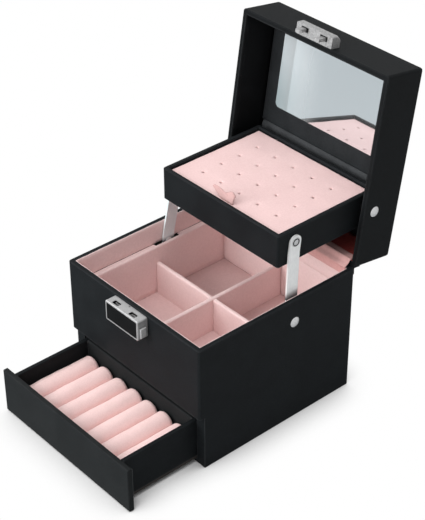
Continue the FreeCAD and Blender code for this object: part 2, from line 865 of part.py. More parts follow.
def hasp():
    """Bevelled block on the lid's front wall with two barbed hooks below it."""
    foot = lid_bottom
    top = foot + hasp_height
    face = front_y - hasp_depth
    bevel = [(face, top - hasp_bevel), (face + hasp_bevel, top)]
    body = side_profile([(front_y, foot), (face, foot)] + bevel + [(front_y, top)], across(hasp_width / 2))
    at_end = lambda edge: abs(edge.BoundBox.Center.x) > hasp_width / 2 - hasp_end_bevel
    body = bevelled(body, hasp_end_bevel, lambda edge: at_end(edge) and edge.BoundBox.YMax < front_y)
    tip = lock_top - hook_reach
    x = (hook_spacing / 2 - hook_width / 2, hook_spacing / 2 + hook_width / 2)
    barb_top = tip + hook_barb
    barb = [(x[0], barb_top), (x[0] - hook_barb, barb_top), (x[0], tip)]
    outline = [(x[0], foot)] + barb + [(x[1], tip), (x[1], foot)]
    corners = [vector(corner_x, hook_span(0)[0], corner_z) for corner_x, corner_z in outline]
    hook = Part.Face(Part.makePolygon(corners + corners[:1])).extrude(vector(0, hook_thickness, 0))
    return opened(body.fuse([hook, mirrored(hook)]).removeSplitter())


# Rear hinges.

def hinge_leaf(lower):
    """One leaf of a hinge, lid closed: a plate on the rear wall and its share of the knuckle."""
    half = hinge_length / 2
    middle = hinge_middle_length / 2
    gap = hinge_knuckle_gap
    spans = [(-half, -middle - gap), (middle + gap, half)] if lower else [(-middle, middle)]
    side = -1 if lower else 1
    reach = sorted([hinge_z, hinge_z + side * hinge_leaf_height])
    seat = (back_y - hinge_leaf_thickness, back_y)
    plate_x = (hinge_offset_x - half, hinge_offset_x + half)
    plate = block(plate_x, seat, reach)
    plate = plate.cut(rod(hinge_knuckle_radius + gap, plate_x, hinge_y, hinge_z))
    leaf = plate
    for low, high in spans:
        x = (hinge_offset_x + low, hinge_offset_x + high)
        leaf = leaf.fuse(rod(hinge_knuckle_radius, x, hinge_y, hinge_z))
        neck = sorted([hinge_z, hinge_z + side * (hinge_knuckle_radius + 2 * gap)])
        leaf = leaf.fuse(block(x, seat, neck))
    bore = hinge_pin_radius + running_clearance
    return leaf.cut(rod(bore, plate_x, hinge_y, hinge_z)).removeSplitter()


def hinge_pin():
    half = hinge_length / 2
    return rod(hinge_pin_radius, (hinge_offset_x - half, hinge_offset_x + half), hinge_y, hinge_z)


def lid_point(from_hinge, above_rim):
    """A point of the open lid, given in the closed lid's distances from the hinge axis."""
    y = hinge_y + from_hinge * forward[0] + above_rim * upward[0]
    z = hinge_z + from_hinge * forward[1] + above_rim * upward[1]
    return (y, z)


def hinge_lining():
    """Velvet strip over the hinge line, from the rear wall's lining to the lid's."""
    half = lining_thickness / 2
    body_corner = (lining_back_y, body_height)
    lid_corner = lid_point(wall, rim_gap / 2)
    run = math.hypot(lid_corner[0] - body_corner[0], lid_corner[1] - body_corner[1])
    out_y = -(lid_corner[1] - body_corner[1]) / run * (half + hinge_lining_slack)
    out_z = (lid_corner[0] - body_corner[0]) / run * (half + hinge_lining_slack)
    path = [
        (lining_back_y - half, body_height - hinge_lining_glued),
        (lining_back_y - half, body_height),
        (body_corner[0] + out_y, body_corner[1] + out_z),
        (lid_corner[0] + out_y, lid_corner[1] + out_z),
        lid_point(wall + half, rim_gap + half),
        lid_point(wall + half, rim_gap + hinge_lining_glued),
    ]
    return ribbon(path, lining_thickness, across(lining_face_x - hinge_lining_side_gap))


pieces = {
    "base_felt": base_felt(),
    "base_board": base_board(),
    "right_board": right_board(),
    "left_board": mirrored(right_board()),
    "back_board": back_board(),
    "front_board": front_board(),
    "right_liner_board": right_liner_board(),
    "left_liner_board": mirrored(right_liner_board()),
    "deck_board": deck_board(),
    "body_cover": body_cover(),
    "wall_lining": wall_lining(),
    "right_ledge_lining": right_ledge_lining(),
    "left_ledge_lining": mirrored(right_ledge_lining()),
    "floor_lining": floor_lining(),
    "long_divider": long_divider(),
    "right_divider": right_divider(),
    "left_divider": mirrored(right_divider()),
    "link_base_rivets": pair(link_base_rivet()),
    "lock_housing": lock_housing(),
    "lock_face_plate": lock_face_plate(),
    "lock_springs": lock_springs(),
    "right_button": right_button(),
    "left_button": mirrored(right_button()),
    "hinge_body_leaves": pair(hinge_leaf(True)),
    "hinge_pins": pair(hinge_pin()),
    "hinge_lid_leaves": opened(pair(hinge_leaf(False))),
    "hinge_lining": hinge_lining(),
    "lid_top_board": lid_top_board(),
    "lid_front_board": lid_front_board(),
    "lid_back_board": lid_back_board(),
    "lid_right_board": lid_right_board(),
    "lid_left_board": mirrored(lid_right_board()),
    "lid_cover": lid_cover(),
    "lid_lining": lid_lining(),
    "lid_back_lining": lid_back_lining(),
    "mirror_board": mirror_board(),
    "mirror": mirror(),
    "hasp": hasp(),
    "tray_pivot_rivets": pair(tray_pivot_rivet()),
    "tray_spacers": pair(tray_spacer()),
    "tray_box": tray_box(),
    "tray_lining": tray_lining(),
    "panel_rests": panel_rests(),
    "earring_panel": earring_panel(),
    "pull_tab": pull_tab(),
    "right_link": right_link(),
    "left_link": mirrored(right_link()),
    "right_link_rivet": right_link_rivet(),
    "left_link_rivet": mirrored(right_link_rivet()),
    "drawer_front": drawer_front(),
    "drawer_right_side": drawer_right_side(),
    "drawer_left_side": mirrored(drawer_right_side()),
    "drawer_back": drawer_back(),
    "drawer_divider": drawer_divider(),
    "drawer_bottom": drawer_bottom_board(),
    "drawer_lining": drawer_lining(),
    "roll_pad": roll_pad(),
    "ring_rolls": ring_rolls(),
}

os.makedirs("parts", exist_ok=True)
for name, shape in pieces.items():
    shape.exportStep(f"parts/{name}.step")
    box = shape.BoundBox
    print(f"{name}: {len(shape.Solids)} solids, {shape.Volume:.0f} mm3, valid {shape.isValid()},"
          f" y {box.YMin:.1f} to {box.YMax:.1f}, z {box.ZMin:.1f} to {box.ZMax:.1f}")
print(f"link base pivot y {link_base_y:.3f}, z {link_base_level:.3f}")
print(f"link top pivot y {link_top_y:.3f}, z {link_top_z:.3f}")
print(f"link length {link_length:.3f}, turn {link_turn:.3f} degrees")
print(f"tray pivot y {lid_pivot_y:.3f}, z {lid_pivot_z:.3f}, hinge y {hinge_y:.3f}, z {hinge_z:.3f}")
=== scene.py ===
# %% [markdown]
# # A leatherette train case for jewellery
# The case stands open: the lid is up, the lift tray hangs between the lid and two steel links, and the
# drawer is pulled out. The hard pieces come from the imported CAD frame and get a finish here. The soft
# pieces, velvet linings, ring rolls and a padded panel, are built here as the cloth and foam they are.

# %% Load the frame
import json
import math

import bmesh
import bpy
import numpy as np
from mathutils import Matrix, Vector


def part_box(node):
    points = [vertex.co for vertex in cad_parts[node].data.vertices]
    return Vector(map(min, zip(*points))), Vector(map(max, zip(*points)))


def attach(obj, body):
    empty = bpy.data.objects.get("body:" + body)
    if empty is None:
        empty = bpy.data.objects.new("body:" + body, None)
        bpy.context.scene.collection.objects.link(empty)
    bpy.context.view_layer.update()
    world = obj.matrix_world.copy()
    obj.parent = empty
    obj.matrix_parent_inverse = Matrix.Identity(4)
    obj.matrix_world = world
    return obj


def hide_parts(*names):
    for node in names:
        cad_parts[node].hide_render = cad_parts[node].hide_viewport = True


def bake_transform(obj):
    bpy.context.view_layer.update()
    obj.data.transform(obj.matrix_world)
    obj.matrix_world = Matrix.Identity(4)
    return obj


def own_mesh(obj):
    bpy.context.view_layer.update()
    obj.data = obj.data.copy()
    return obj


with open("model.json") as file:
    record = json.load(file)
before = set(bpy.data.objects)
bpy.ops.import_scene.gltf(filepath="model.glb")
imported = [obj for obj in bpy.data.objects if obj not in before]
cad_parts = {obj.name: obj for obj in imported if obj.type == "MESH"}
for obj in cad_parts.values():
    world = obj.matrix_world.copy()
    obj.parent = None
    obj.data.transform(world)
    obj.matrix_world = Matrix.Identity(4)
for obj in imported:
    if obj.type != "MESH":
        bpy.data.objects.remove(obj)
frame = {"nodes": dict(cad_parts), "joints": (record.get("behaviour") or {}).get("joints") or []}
scene = bpy.context.scene
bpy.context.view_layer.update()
MM = 0.001

# %% [markdown]
# ## Camera
# The picture was taken with a long lens from above the case's front right corner. The camera could be
# placed by eye, but the straight edges of the case give its place by calculation, so the numbers here
# are the solved ones: direction, focal length in pixels, and how far the case is from the lens.

# %% Place the camera
IMAGE_HEIGHT = 520
FOCAL_PIXELS = 1522.024
SENSOR = 36.0
azimuth, elevation, roll = (math.radians(a) for a in (48.877, 34.538, -0.233))
aim = (-1.000 * MM, -102.279 * MM, 1315.250 * MM)
back = Vector((math.sin(azimuth) * math.cos(elevation), -math.cos(azimuth) * math.cos(elevation),
               math.sin(elevation)))
level = Vector((math.cos(azimuth), math.sin(azimuth), 0.0))
upright = back.cross(level)
right = level * math.cos(roll) + upright * math.sin(roll)
up = upright * math.cos(roll) - level * math.sin(roll)

lens = bpy.data.cameras.new("camera")
lens.sensor_width = SENSOR
lens.lens = FOCAL_PIXELS * SENSOR / IMAGE_HEIGHT
lens.clip_start, lens.clip_end = 0.05, 100.0
camera = bpy.data.objects.new("camera", lens)
scene.collection.objects.link(camera)
camera.matrix_world = Matrix((right, up, back)).transposed().to_4x4()
camera.location = back * aim[2] - right * aim[0] - up * aim[1]
scene.camera = camera
scene.view_settings.view_transform = "Standard"
print("camera at", [round(v, 3) for v in camera.location], "lens", round(lens.lens, 2))

# %% [markdown]
# ## Wiring shaders with sums
# A finish is a net of shader nodes. Written by hand, each sum takes several lines, so one small class
# wraps a socket: adding or multiplying two of them adds a Math node. Every other node comes from its
# method `node`, which sets the node's settings first and its sockets after.

# %% The socket class
class Wire:
    """A shader socket that takes part in sums, and makes new nodes in the same tree."""

    def __init__(self, tree, socket=None):
        self.tree = tree
        self.socket = socket

    def node(self, kind, settings=None, sockets=None, out=0):
        """A new node: its settings, then its sockets, linked or set; out is the socket handed back."""
        made = self.tree.nodes.new(kind)
        for name, value in (settings or {}).items():
            setattr(made, name, value)
        for name, value in (sockets or {}).items():
            if isinstance(value, Wire):
                self.tree.links.new(value.socket, made.inputs[name])
            else:
                made.inputs[name].default_value = value
        return Wire(self.tree, made.outputs[out]) if made.outputs else None

    def also(self, out):
        """Another outlet of the same node."""
        return Wire(self.tree, self.socket.node.outputs[out])

    def maths(self, operation, first, second=0.0):
        return self.node("ShaderNodeMath", {"operation": operation}, {0: first, 1: second})

    def __add__(self, other):
        return self.maths("ADD", self, other)

    __radd__ = __add__

    def __sub__(self, other):
        return self.maths("SUBTRACT", self, other)

    def __rsub__(self, other):
        return self.maths("SUBTRACT", other, self)

    def __mul__(self, other):
        return self.maths("MULTIPLY", self, other)

    __rmul__ = __mul__

    def __pow__(self, other):
        return self.maths("POWER", self, other)

    def most(self, other):
        return self.maths("MAXIMUM", self, other)

    def size(self):
        return self.maths("ABSOLUTE", self)

    def ramp(self, low, high):
        """0 below low, 1 above high, smooth between them."""
        return self.node("ShaderNodeMapRange", {"interpolation_type": "SMOOTHSTEP"},
                         {"Value": self, "From Min": low, "From Max": high})

    def tint(self, dark, light):
        """The colour between dark and light that this value picks."""
        return self.node("ShaderNodeMix", {"data_type": "RGBA"}, {0: self, 6: dark, 7: light}, out=2)


# %% How a finish starts, what it is made of and how it ends
def blank(name):
    """A new material, its empty node tree, and the place on the object that patterns follow."""
    made = bpy.data.materials.new(name)
    made.use_nodes = True
    made.node_tree.nodes.clear()
    ink = Wire(made.node_tree)
    return made, ink, ink.node("ShaderNodeTexCoord", out="Object")


def shade(red, green, blue):
    """A colour given as on a screen, 0 to 255, in the linear values that shaders use."""
    return tuple(((v / 255 + 0.055) / 1.055) ** 2.4 if v > 10 else v / 255 / 12.92
                 for v in (red, green, blue)) + (1.0,)


def noise(spot, scale, detail, **more):
    """Soft noise over places; scale is how many waves go into a metre."""
    return spot.node("ShaderNodeTexNoise", None, {"Vector": spot, "Scale": scale, "Detail": detail, **more})


def bump(height, strength, distance):
    """The normal of a surface with this height on it."""
    return height.node("ShaderNodeBump", None, {"Strength": strength, "Distance": distance, "Height": height})


def cover_with(ink, sockets):
    """Ends a finish: one Principled surface with these values and links."""
    surface = ink.node("ShaderNodeBsdfPrincipled", None, sockets)
    ink.node("ShaderNodeOutputMaterial", None, {"Surface": surface})


# %% [markdown]
# ## Floor and light
# The case stands on a white sweep in soft studio light. Brighter lamps would burn out the pink velvet, so
# the white comes from the floor itself: where the camera or a mirror looks at it directly, it is plain
# white, and it turns to a matt grey where something stands so close that it hides part of the sky. That
# leaves a soft contact shadow under the case and the drawer, wherever the drawer is. In the case's own
# mirror the floor shows a painted reflection of a dim room: grey by the case, and paler towards its right.

# %% Floor
def seen_directly(ink):
    """1 for rays from the camera, from a mirror or through glass, else 0."""
    path = ink.node("ShaderNodeLightPath", out="Is Camera Ray")
    return path.most(path.also("Is Glossy Ray")).most(path.also("Is Transmission Ray"))


FLOOR_HALF = 12.0
CASE_HALF_X, CASE_HALF_Y = 0.0825, 0.084
SHADOW_REACH = 0.042
WHITE = (1.0, 1.0, 1.0, 1.0)
PAINTED_REFLECTION_NEAR, PAINTED_REFLECTION_FAR, PAINTED_REFLECTION_RIGHT = (0.33, 0.375, 0.40, 1.0), (0.55, 0.59, 0.61, 1.0), (0.86, 0.88, 0.89, 1.0)
sweep = bpy.data.meshes.new("floor")
sweep.from_pydata([(x * FLOOR_HALF, y * FLOOR_HALF, 0.0) for x, y in ((-1, -1), (1, -1), (1, 1), (-1, 1))],
                  [], [(0, 1, 2, 3)])
floor = bpy.data.objects.new("floor", sweep)
scene.collection.objects.link(floor)
white_sweep, ink, spot = blank("white_sweep")
side_x = ink.node("ShaderNodeSeparateXYZ", None, {"Vector": spot}, out="X")
past_x = (side_x.size() - CASE_HALF_X).most(0.0)
past_y = (side_x.also("Y").size() - CASE_HALF_Y).most(0.0)
away = (past_x * past_x + past_y * past_y) ** 0.5
open_sky = ink.node("ShaderNodeAmbientOcclusion", {"samples": 16}, {"Distance": SHADOW_REACH}, out="AO")
glow = seen_directly(ink) * open_sky.ramp(0.28, 0.93)
mirrored = ink.node("ShaderNodeLightPath", out="Is Glossy Ray")
# Painted reflection: mirrors and metal see the floor in these greys, darker near the case and paler to its
# right.
far_tone = away.ramp(0.02, 0.5).tint(PAINTED_REFLECTION_NEAR, PAINTED_REFLECTION_FAR)
mirror_tone = side_x.ramp(0.08, 0.2).tint(far_tone, PAINTED_REFLECTION_RIGHT)
seen_tone = mirrored.tint(WHITE, mirror_tone)
matt = ink.node("ShaderNodeBsdfDiffuse", None, {"Color": (0.62, 0.62, 0.62, 1.0)})
plain_white = ink.node("ShaderNodeEmission", None, {"Color": seen_tone, "Strength": 1.0})
floor_mix = ink.node("ShaderNodeMixShader", None, {0: glow, 1: matt, 2: plain_white})
ink.node("ShaderNodeOutputMaterial", None, {"Surface": floor_mix})
sweep.materials.append(white_sweep)
print("floor", 2 * FLOOR_HALF, "m wide")

# %% World and lamps
SKY_LOW, SKY_RISE = 0.24, 0.66
LIGHT_FROM = (-0.38, -0.46, 0.80)
world = bpy.data.worlds.new("studio")
scene.world = world
world.use_nodes = True
world.node_tree.nodes.clear()
ink = Wire(world.node_tree)
look = ink.node("ShaderNodeTexCoord", out="Generated")
facing = ink.node("ShaderNodeVectorMath", {"operation": "DOT_PRODUCT"}, {0: look, 1: LIGHT_FROM}, out="Value")
sky_strength = SKY_LOW + SKY_RISE * facing.ramp(-0.35, 0.95)
sky = ink.node("ShaderNodeBackground", None, {"Color": WHITE, "Strength": sky_strength})
backdrop = ink.node("ShaderNodeBackground", None, {"Color": WHITE, "Strength": 1.0})
world_mix = ink.node("ShaderNodeMixShader", None, {0: seen_directly(ink), 1: sky, 2: backdrop})
ink.node("ShaderNodeOutputWorld", None, {"Surface": world_mix})


def soft_lamp(name, kind, strength, towards, place=(0.0, 0.0, 0.0), **shape):
    """A studio lamp whose light comes from the direction `towards`: a SUN far off or an AREA close by."""
    lamp = bpy.data.lights.new(name, kind)
    lamp.energy = strength
    for setting, value in shape.items():
        setattr(lamp, setting, value)
    holder = bpy.data.objects.new(name, lamp)
    holder.location = place
    holder.rotation_euler = Vector(towards).to_track_quat("Z", "Y").to_euler()
    scene.collection.objects.link(holder)


BOX_PLACE, BOX_AIM = Vector((-0.22, -0.62, 0.34)), Vector((0.0, -0.12, 0.03))
soft_lamp("key", "SUN", 0.5, (0.05, -0.20, 1.0), angle=math.radians(9))
soft_lamp("front", "SUN", 1.35, (-0.18, -0.85, 0.50), angle=math.radians(60))
soft_lamp("low", "AREA", 1.6, BOX_PLACE - BOX_AIM, BOX_PLACE, size=0.35)

# %% [markdown]
# ## Leatherette
# The wrap is a thin black vinyl with a fine pebble grain. A picture of leather could be tiled over it, but
# a Voronoi pattern gives the pebbles at their real size on every side without seams: each cell is a
# pebble, and the distance to the cell's edge is the valley between two; the valleys are painted darker as
# shade. The edges get a painted highlight where the surface's own direction differs from a softened one.

# %% Leatherette finish
def leatherette(name, dark, light, edge, grain_size=0.0008, gloss=0.45):
    """Pebbled vinyl between two tones, painted darker in its valleys; edge is its painted highlight colour."""
    made, ink, spot = blank(name)
    bend = noise(spot, 0.4 / grain_size, 2.0)
    pebble = ink.node("ShaderNodeTexVoronoi", {"feature": "DISTANCE_TO_EDGE"},
                      {"Vector": spot, "Scale": 1.0 / grain_size}, out="Distance")
    valley = 1.0 - pebble.ramp(0.0, 0.22)
    cloud = noise(spot, 55.0, 3.0)
    dust = noise(spot, 700.0, 2.0)
    relief = bump(bend * 0.5 - valley, 0.35, 0.00012)
    # Painted shade: the tone is darker in the valleys between pebbles.
    tone = (cloud * 0.6 + dust * 0.4).ramp(0.3, 0.7) * (1.0 - valley * 0.4)
    # Painted highlight: edges turn towards the edge colour where the softened normal differs from the true one.
    softened = ink.node("ShaderNodeBevel", {"samples": 6}, {"Radius": 0.0013})
    plain = ink.node("ShaderNodeNewGeometry", out="Normal")
    alike = ink.node("ShaderNodeVectorMath", {"operation": "DOT_PRODUCT"}, {0: softened, 1: plain}, out="Value")
    painted_edge_highlight = (1.0 - alike).ramp(0.0, 0.22) * (0.6 + 0.4 * dust)
    cover_with(ink, {"Base Color": painted_edge_highlight.tint(tone.tint(shade(*dark), shade(*light)), shade(*edge)),
                     "Roughness": gloss + 0.12 * cloud + valley * 0.08, "Normal": relief,
                     "Specular IOR Level": 0.05})
    return made


# The last colour of each wrap is its painted edge highlight.
black_wrap = leatherette("leatherette", (24, 26, 28), (31, 34, 36), (66, 68, 70))
# Painted shade: a darker copy of the wrap for the lid.
shaded_lid_wrap = leatherette("shaded_lid_leatherette", (19, 21, 22), (26, 28, 30), (62, 64, 66))
# Painted light: a paler copy of the wrap for the drawer's front and divider, with a brighter edge.
lit_drawer_wrap = leatherette("lit_drawer_leatherette", (30, 32, 33), (38, 40, 41), (92, 94, 96))
# Painted light: a paler copy of the wrap for the mirror's board.
lit_board_wrap = leatherette("soft_leatherette", (36, 38, 40), (47, 50, 52), (62, 64, 66))
# Painted light: a much paler copy of the dark lining for the fold under the mirror's board.
lit_fold_wrap = leatherette("lit_fold_leatherette", (62, 64, 66), (78, 80, 82), (80, 82, 84), gloss=0.42)
dark_paper = leatherette("dark_lining", (15, 16, 17), (22, 24, 26), (30, 31, 32), 0.0005, 0.55)
print("leatherettes:", [m.name for m in bpy.data.materials if "leatherette" in m.name])

# %% [markdown]
# ## Velvet
# The linings, the panel and the ring rolls are a pink velvet with a very short pile. Hair would give the
# pile itself, but at under half a millimetre it is finer than a pixel. What shows is its soft mottle where
# the pile leans one way or another, and the pale sheen at a glancing look, so those are what is made.

# %% Velvet finish
def velvet(name, deep, pale, mottle_size=0.0022, mottle_depth=0.25, sheen=0.22):
    """Short-pile velvet between two tones, in patches of mottle_size that lean one way."""
    made, ink, spot = blank(name)
    pile = noise(spot, 2600.0, 2.0)
    lean = noise(spot, 1.0 / mottle_size, 4.0, Roughness=0.6)
    stroke = noise(spot, 32.0, 2.0)
    tone = (lean * 0.55 + pile * 0.2 + stroke * 0.25).ramp(0.36, 0.64)
    relief = bump(lean * 0.7 + pile * 0.3, mottle_depth, 0.0004)
    cover_with(ink, {"Base Color": tone.tint(shade(*deep), shade(*pale)), "Roughness": 0.82 + 0.14 * pile,
                     "Normal": relief, "Specular IOR Level": 0.2, "Sheen Weight": sheen,
                     "Sheen Roughness": 0.45, "Sheen Tint": (1.0, 0.88, 0.87, 1.0)})
    return made


lining_velvet = velvet("lining_velvet", (239, 212, 210), (246, 220, 218))
# Painted shade: the compartment floor's velvet is a darker copy of the lining.
floor_velvet = velvet("floor_velvet", (218, 187, 185), (226, 196, 194))
# Painted shade: a darker, redder copy of the lining for the strip over the hinge.
shaded_strip_velvet = velvet("shaded_strip_velvet", (218, 168, 164), (227, 179, 175), sheen=0.0)
panel_velvet = velvet("panel_velvet", (233, 199, 197), (241, 209, 207), 0.0013)
roll_velvet = velvet("roll_velvet", (245, 211, 208), (254, 221, 218), 0.0011, 0.45, 0.2)
# Painted shade: a deep red copy of the lining for the lid's rear wall.
lid_velvet = velvet("lid_velvet", (178, 72, 66), (192, 86, 80), sheen=0.0)
# Painted shade: a darker copy of the panel's velvet for the pull tab.
tab_velvet = velvet("tab_velvet", (196, 158, 155), (206, 168, 165), 0.0016, 0.2, 0.0)
# Painted shade: a dark copy of the lining for the bottom of the stud holes.
hole_shade_velvet = velvet("hole_shade_velvet", (104, 72, 70), (124, 88, 86), 0.0006, 0.2, 0.0)
print("velvets:", [m.name for m in bpy.data.materials if "velvet" in m.name])

# %% [markdown]
# ## Metal, mirror, enamel and the hidden boards
# The lock is a satin nickel casting, the links are satin steel with the lines of a polishing belt along
# them and a dark band of painted shade at the foot. The left link's steel is tinted blue-green, painted
# light that cancels the pink light under the tray. The mirror is silvered glass with a painted reflection
# at its left side, pale blue-grey and darker towards the bottom.
# Each is one Principled surface whose small marks, belt lines, casting ripple or flecks, change its
# roughness and its relief.

# %% Metal finishes
PAINTED_FOOT_SHADE = shade(74, 77, 79)
BELT_UPRIGHT, BELT_LEVEL = (2500.0, 2500.0, 120.0), (2600.0, 700.0, 2600.0)


def satin_metal(name, dark, light, rough, belt, shine, shaded_band_z=None):
    """Satin metal: belt stretches its marks like polishing lines; the last argument is a band of heights
    painted dark as shade.
    """
    made, ink, spot = blank(name)
    along = ink.node("ShaderNodeMapping", None, {"Vector": spot, "Scale": belt})
    lines = noise(along, 1.0, 4.0)
    smear = noise(spot, 160.0, 2.0)
    relief = bump(lines, 0.06, 0.00003)
    colour = (lines * 0.7 + smear * 0.3).ramp(0.3, 0.7).tint(shade(*dark), shade(*light))
    if shaded_band_z:
        height = ink.node("ShaderNodeSeparateXYZ", None, {"Vector": spot}, out="Z")
        # Painted shade: a band of heights at the foot of the link is turned dark.
        foot_shade = height.ramp(shaded_band_z[0] - 0.0008, shaded_band_z[0]) * (1.0 - height.ramp(*shaded_band_z))
        colour = foot_shade.tint(colour, PAINTED_FOOT_SHADE)
    cover_with(ink, {"Base Color": colour, "Metallic": shine, "Normal": relief,
                     "Roughness": rough + 0.12 * lines + 0.08 * smear})
    return made


# Painted light: the left link's steel is a blue-green, less shiny copy that cancels the pink light under the
# tray.
light_corrected_left_steel = satin_metal("light_corrected_left_satin_steel", (222, 237, 239), (235, 247, 249), 0.42, BELT_UPRIGHT, 0.2,
                         shaded_band_z=(0.0990, 0.1040))
satin_steel = satin_metal("satin_steel", (234, 235, 235), (248, 249, 249), 0.36, BELT_UPRIGHT, 0.4,
                          shaded_band_z=(0.1180, 0.1255))
satin_nickel = satin_metal("satin_nickel", (202, 202, 203), (222, 222, 222), 0.36, BELT_LEVEL, 0.5)
lock_nickel = satin_metal("lock_nickel", (158, 158, 159), (182, 182, 182), 0.38, BELT_LEVEL, 0.5)
blasted_nickel = satin_metal("blasted_nickel", (140, 140, 141), (178, 178, 178), 0.36, (700.0,) * 3, 0.35)
print("metals:", [m.name for m in bpy.data.materials if "steel" in m.name or "nickel" in m.name])

# %% Mirror, enamel, plastic, board and felt
def silvered_glass():
    """Silvered glass with a painted reflection at its left side: matt, pale blue-grey, darker towards the
    bottom.
    """
    made, ink, spot = blank("mirror_glass")
    ageing = noise(spot, 9.0, 2.0)
    left = ink.node("ShaderNodeSeparateXYZ", None, {"Vector": spot}, out="X")
    # Painted reflection: a matt, pale blue-grey patch at the mirror's left, darker towards the bottom.
    painted_reflection_mask = 1.0 - left.ramp(-0.070, -0.008)
    painted_reflection = left.also("Z").ramp(0.2, 0.262).tint(shade(172, 190, 194), shade(220, 230, 234))
    silver = ageing.ramp(0.3, 0.7).tint(shade(236, 240, 242), shade(242, 246, 248))
    cover_with(ink, {"Base Color": painted_reflection_mask.tint(silver, painted_reflection),
                     "Metallic": 0.95 - 0.85 * painted_reflection_mask, "Roughness": 0.015 + 0.015 * ageing})
    return made


def speckled(name, dark, light, speck, rough, depth, shine=0.4):
    """A moulded, painted or pressed finish: fine specks in colour and relief."""
    made, ink, spot = blank(name)
    fine = noise(spot, 1.0 / speck, 3.0)
    broad = noise(spot, 0.08 / speck, 2.0)
    relief = bump(fine, depth, 0.0001)
    colour = (fine * 0.6 + broad * 0.4).ramp(0.3, 0.7).tint(shade(*dark), shade(*light))
    cover_with(ink, {"Base Color": colour, "Roughness": rough + 0.15 * fine, "Normal": relief,
                     "Specular IOR Level": shine})
    return made


mirror_glass = silvered_glass()
black_enamel = speckled("black_enamel", (14, 15, 16), (20, 21, 22), 0.0004, 0.5, 0.1, 0.06)
black_plastic = speckled("black_plastic", (9, 9, 10), (15, 15, 16), 0.0005, 0.5, 0.3, 0.15)
dark_board = speckled("fibreboard", (34, 31, 29), (52, 47, 43), 0.0006, 0.75, 0.5)
dark_felt = speckled("felt", (30, 30, 31), (54, 54, 55), 0.0007, 0.9, 0.9)
print(len(bpy.data.materials), "finishes in all")

# %% Give the hard CAD pieces their finish
boards = [name for name in frame["nodes"] if name.endswith("_board") and name != "mirror_board"]
HARD_FINISHES = {
    black_wrap: ["body_cover", "tray_box", "drawer_left_side", "drawer_right_side", "drawer_back"],
    shaded_lid_wrap: ["lid_cover"],
    lit_drawer_wrap: ["drawer_front", "drawer_divider"],
    lit_board_wrap: ["mirror_board"],
    dark_board: [*boards, "panel_rests", "drawer_bottom"],
    light_corrected_left_steel: ["left_link"],
    satin_steel: ["right_link", "hinge_body_leaves", "hinge_lid_leaves", "hinge_pins", "lock_springs"],
    lock_nickel: ["lock_housing"],
    satin_nickel: ["left_button", "right_button", "left_link_rivet", "right_link_rivet", "link_base_rivets",
                   "tray_pivot_rivets"],
    blasted_nickel: ["hasp"],
    mirror_glass: ["mirror"],
    black_enamel: ["lock_face_plate"],
    black_plastic: ["tray_spacers"],
}
for finish, names in HARD_FINISHES.items():
    for name in names:
        held = frame["nodes"][name].data.materials
        held.clear()
        held.append(finish)
print("finished CAD pieces:", sum(len(names) for names in HARD_FINISHES.values()))

# %% [markdown]
# ## Tools for soft pieces
# Velvet pieces are either pads, closed forms with round edges, or sheets of cloth glued to a wall. Two
# helpers make the points: one cuts the six faces of a box into a net and rounds its edges, and one gives
# a net of points a thickness and a rounded rim. A third turns points into an object that rides on a body.

# %% Pads: a net over a box, with round edges
def spread_places(low, high, edge, step):
    """Places along one side of a box: close together over its round edges, wider between them."""
    count = max(2, round((high - low - 2 * edge) / step) + 1)
    middle = np.linspace(low + edge, high - edge, count)
    bend = edge * np.tan(np.radians(np.linspace(45, 0, 3, endpoint=False)))
    return np.concatenate([low + edge - bend, middle, (high - edge + bend)[::-1]])


def box_net(places):
    """Points and four-sided faces over the six sides of a box, cut at these places along each axis."""
    numbers, faces = {}, []
    for axis in range(3):
        across, along = (axis + 1) % 3, (axis + 2) % 3
        for end in (0, len(places[axis]) - 1):
            for i in range(len(places[across]) - 1):
                for j in range(len(places[along]) - 1):
                    ring = [(i, j), (i + 1, j), (i + 1, j + 1), (i, j + 1)]
                    face = []
                    for a, b in ring if end else ring[::-1]:
                        key = [0, 0, 0]
                        key[axis], key[across], key[along] = end, a, b
                        face.append(numbers.setdefault(tuple(key), len(numbers)))
                    faces.append(face)
    points = np.array([[places[a][key[a]] for a in range(3)] for key in numbers])
    return points, faces


def unit(vectors):
    """Vectors made 1 long."""
    return vectors / np.maximum(np.linalg.norm(vectors, axis=-1, keepdims=True), 1e-12)


def round_off(points, low, high, edges):
    """Pulls the points of a box net in, so that its edges are round."""
    inside = np.clip(points, low + edges, high - edges)
    return inside + unit((points - inside) / edges) * edges


def rounded_net(low, high, edges, step):
    """A box net whose edges are rounded by a radius for each axis."""
    low, high, edges = (np.array(v, float) for v in (low, high, edges))
    points, faces = box_net([spread_places(low[a], high[a], edges[a], step) for a in range(3)])
    return round_off(points, low, high, edges), faces


# %% Turned forms
def around(count):
    """Angles evenly round a circle."""
    return np.linspace(0, 2 * math.pi, count, endpoint=False)


def tube_faces(rings, sides, closed=False):
    """Faces between rings of points; closed joins the last ring to the first, else each end has a cap."""
    faces = [(i * sides + j, i * sides + (j + 1) % sides, (i + 1) % rings * sides + (j + 1) % sides,
              (i + 1) % rings * sides + j) for i in range(rings if closed else rings - 1) for j in range(sides)]
    caps = [] if closed else [tuple(range(sides)), tuple(range((rings - 1) * sides, rings * sides))]
    return faces + caps


def turned_net(centre, axis, section, sides=16, closed=False):
    """A turned form: rings of points round an axis (0 x, 1 y, 2 z), from places along it and radii."""
    across, along = (axis + 1) % 3, (axis + 2) % 3
    points = []
    for place, radius in section:
        for turn in around(sides):
            point = np.array(centre, float)
            point[axis] += place
            point[across] += radius * math.cos(turn)
            point[along] += radius * math.sin(turn)
            points.append(point)
    return np.array(points), tube_faces(len(section), sides, closed)


